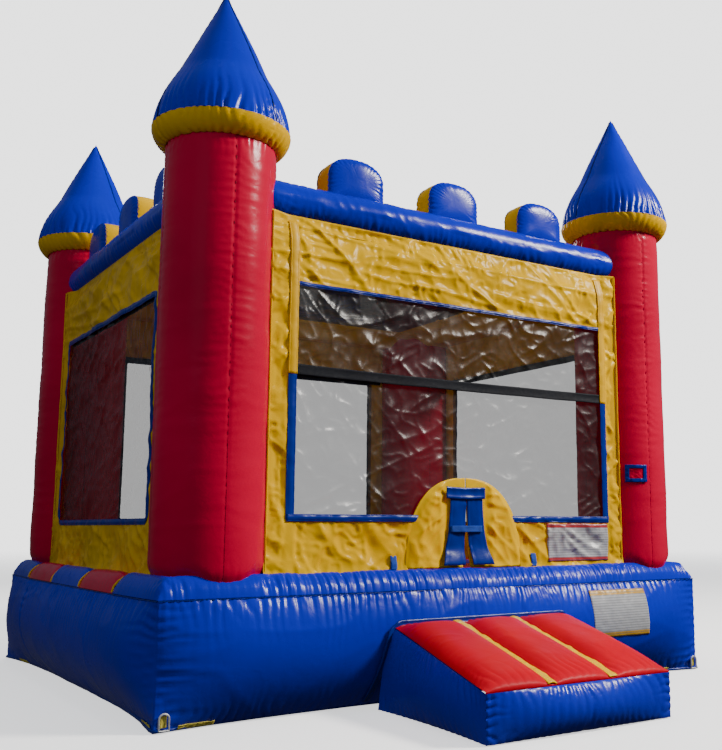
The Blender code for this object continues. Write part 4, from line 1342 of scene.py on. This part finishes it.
def make_sleeve():
    """The inflation sleeve at the back: a soft tube gathered at the base and at its end."""
    angle, t = np.meshgrid(np.linspace(0, math.tau, 44, endpoint=False), spread(0, 1, 0.016))
    y = SLEEVE_Y[0] + (SLEEVE_Y[1] - SLEEVE_Y[0]) * t
    radius = np.interp(y, [1.70, 1.79, 1.86, 2.25, 2.32], [0.082, 0.087, 0.117, 0.118, 0.104])
    arc, from_root = angle * 0.12, t * 0.58
    relief = puckers(arc, from_root, 0.045, 0.09, 0.010, 1100)
    relief += puckers(arc + 3, 0.58 - from_root, 0.045, 0.10, 0.012, 1104)
    relief += 0.005 * creases(angle * 3, t * 9, 1108, 3.0) + 0.003 * noise2(angle * 2, t * 6, 1109)
    radius = radius + relief - 0.004
    z = SLEEVE_Z - 0.003 - 0.012 * np.sin(math.pi * t) + radius * np.sin(angle)
    points = np.stack([SLEEVE_X + radius * np.cos(angle), y, np.maximum(z, 0.004)], axis=-1)[:, ::-1]
    blend = ("root", "inflation_tube", (SLEEVE_X, 1.73, SLEEVE_Z), (SLEEVE_X, 1.84, SLEEVE_Z))
    grid_piece("inflation_sleeve", points, "blue_vinyl", ["inflation_tube"], 0.8, blend, wrap=True)


def make_zipper():
    """The deflation port's zip: a stitched tape on the back of the base, with rows of coil teeth."""
    x, v = np.meshgrid(spread(*ZIP_X, ZIP_PITCH), np.linspace(-1, 1, 9))
    z = ZIP_Z + 0.030 * v
    points = np.stack([x, HALF_D + base_outset(x / HALF_W, z) + 0.006, z], axis=-1)
    grid_piece("zip_tape", points[:, ::-1], "black_webbing", thickness=0.002)
    teeth = bmesh.new()
    for number in range(ZIP_TEETH):
        x = ZIP_X[0] + 0.005 + number * ZIP_PITCH
        for z in (ZIP_Z - 0.0045, ZIP_Z + 0.0045):
            y = HALF_D + float(base_outset(x / HALF_W, z)) + 0.0095
            made = bmesh.ops.create_cube(teeth, size=1.0)
            bmesh.ops.scale(teeth, vec=(0.005, 0.003, 0.006), verts=made["verts"])
            bmesh.ops.translate(teeth, vec=Vector((x, y, z)), verts=made["verts"])
    obj = mesh_object("zip_teeth", mesh_from(teeth, "zip_teeth"), "black_plastic")
    bevel = obj.modifiers.new("rounding", "BEVEL")
    bevel.width = 0.0008
    bevel.segments = 1
    piece(obj)


def finish_kept_nodes():
    """Gives the CAD parts that are shown as they are their made materials."""
    finishes = {"base_bottom": "blue_vinyl", "zipper_slider": "black_plastic"}
    finishes.update({f"anchor_ring_{corner}": "steel" for corner in CORNERS})
    for node, material in finishes.items():
        obj = bpy.data.objects.get(node)
        if obj is not None:
            obj.data.materials.clear()
            obj.data.materials.append(MATERIALS[material])


def make_ground():
    """A pale disc that fades out far from the castle, as a seamless studio floor."""
    material, tree, shader, coords = new_material("studio_floor")
    length = add_node(tree, "ShaderNodeVectorMath", operation="LENGTH")
    link(tree, coords, length.inputs[0])
    fade = range_node(tree, length.outputs["Value"], 8.0, 42.0, 1.0, 0.0)
    fade.interpolation_type = "SMOOTHSTEP"
    link(tree, fade.outputs[0], shader.inputs["Alpha"])
    set_inputs(shader, Base_Color=(0.92, 0.92, 0.91, 1), Roughness=0.9)
    set_inputs(shader, Emission_Color=(1, 1, 1, 1), Emission_Strength=1.0)
    form = bmesh.new()
    bmesh.ops.create_circle(form, cap_ends=True, segments=96, radius=45)
    mesh = mesh_from(form, "floor")
    mesh.materials.append(material)
    floor = bpy.data.objects.new("studio_ground", mesh)
    floor.location = (0, 0, -0.002)
    bpy.context.scene.collection.objects.link(floor)
    floor.visible_diffuse = False
    floor.visible_glossy = False


def make_world():
    """A dim sky for the light, and plain white where the camera sees it."""
    world = bpy.data.worlds.new("pale_studio")
    world.use_nodes = True
    tree = world.node_tree
    height = height_node(tree, tree.nodes.new("ShaderNodeTexCoord").outputs["Generated"])
    sky = ramp_node(
        tree, height, [(0.0, (0.05, 0.05, 0.05)), (0.15, (0.10, 0.115, 0.14)), (1.0, (0.24, 0.27, 0.32))]
    )
    rays = tree.nodes.new("ShaderNodeLightPath")
    seen = mix_node(tree, rays.outputs["Is Camera Ray"], sky, (2.6, 2.6, 2.6))
    link(tree, seen, tree.nodes["Background"].inputs["Color"])
    set_inputs(tree.nodes["Background"], Strength=1.0)
    bpy.context.scene.world = world


def make_stage():
    make_ground()
    make_world()
    area_light("key", (7.5, -7.5, 9.0), (0, 0, 1.5), 3.0, 2300, (1.0, 0.95, 0.88))
    area_light("fill", (-9.0, -6.0, 5.0), (0, 0, 1.8), 5.0, 160, (0.82, 0.90, 1.0))
    area_light("top", (0, 1.0, 11.0), (0, 0, 0), 6.0, 260, (1, 1, 1))
    inner_light()
    area_light("rim", (2.0, 9.5, 6.5), (0, 0, 2), 4.0, 300, (1, 1, 1))


def inner_light():
    """A soft lamp inside, so that the far walls show through the nets."""
    light = bpy.data.lights.new("inner", "POINT")
    light.shadow_soft_size = 0.5
    light.energy = 18
    obj = bpy.data.objects.new("inner", light)
    obj.location = (0.3, 0.2, 1.9)
    obj.visible_camera = False
    obj.visible_glossy = False
    bpy.context.scene.collection.objects.link(obj)


def area_light(name, at, towards, size, power, color):
    light = bpy.data.lights.new(name, "AREA")
    light.shape = "DISK"
    light.size = size
    light.energy = power
    light.color = color
    obj = bpy.data.objects.new(name, light)
    obj.visible_glossy = name in ("key", "rim")
    obj.location = at
    obj.rotation_euler = (Vector(towards) - Vector(at)).to_track_quat("-Z", "Y").to_euler()
    bpy.context.scene.collection.objects.link(obj)


def make_camera():
    camera = bpy.data.cameras.new("camera")
    camera.lens = 46.505
    camera.shift_x = -0.092
    camera.shift_y = 0.004
    obj = bpy.data.objects.new("camera", camera)
    obj.location = (-3.6484, -6.5703, 1.0025)
    obj.rotation_euler = (math.radians(90 + 8.757), 0, math.radians(-34.313))
    bpy.context.scene.collection.objects.link(obj)
    bpy.context.scene.camera = obj


make_base()
make_floor()
make_turrets()
for index, side in enumerate(SIDES):
    make_beam(side, 600 + 20 * index)
    for number in (1, 2, 3):
        make_crenellation(side, number, 640 + 40 * index + 10 * number)
    make_wall(side, 1000 + 200 * index)
make_roof()
make_door()
make_ramp()
make_base_seams()
make_labels()
make_tabs()
make_pocket()
make_hem_webbing()
make_sleeve()
make_zipper()
make_anchor_tabs()
finish_kept_nodes()
make_stage()
make_camera()
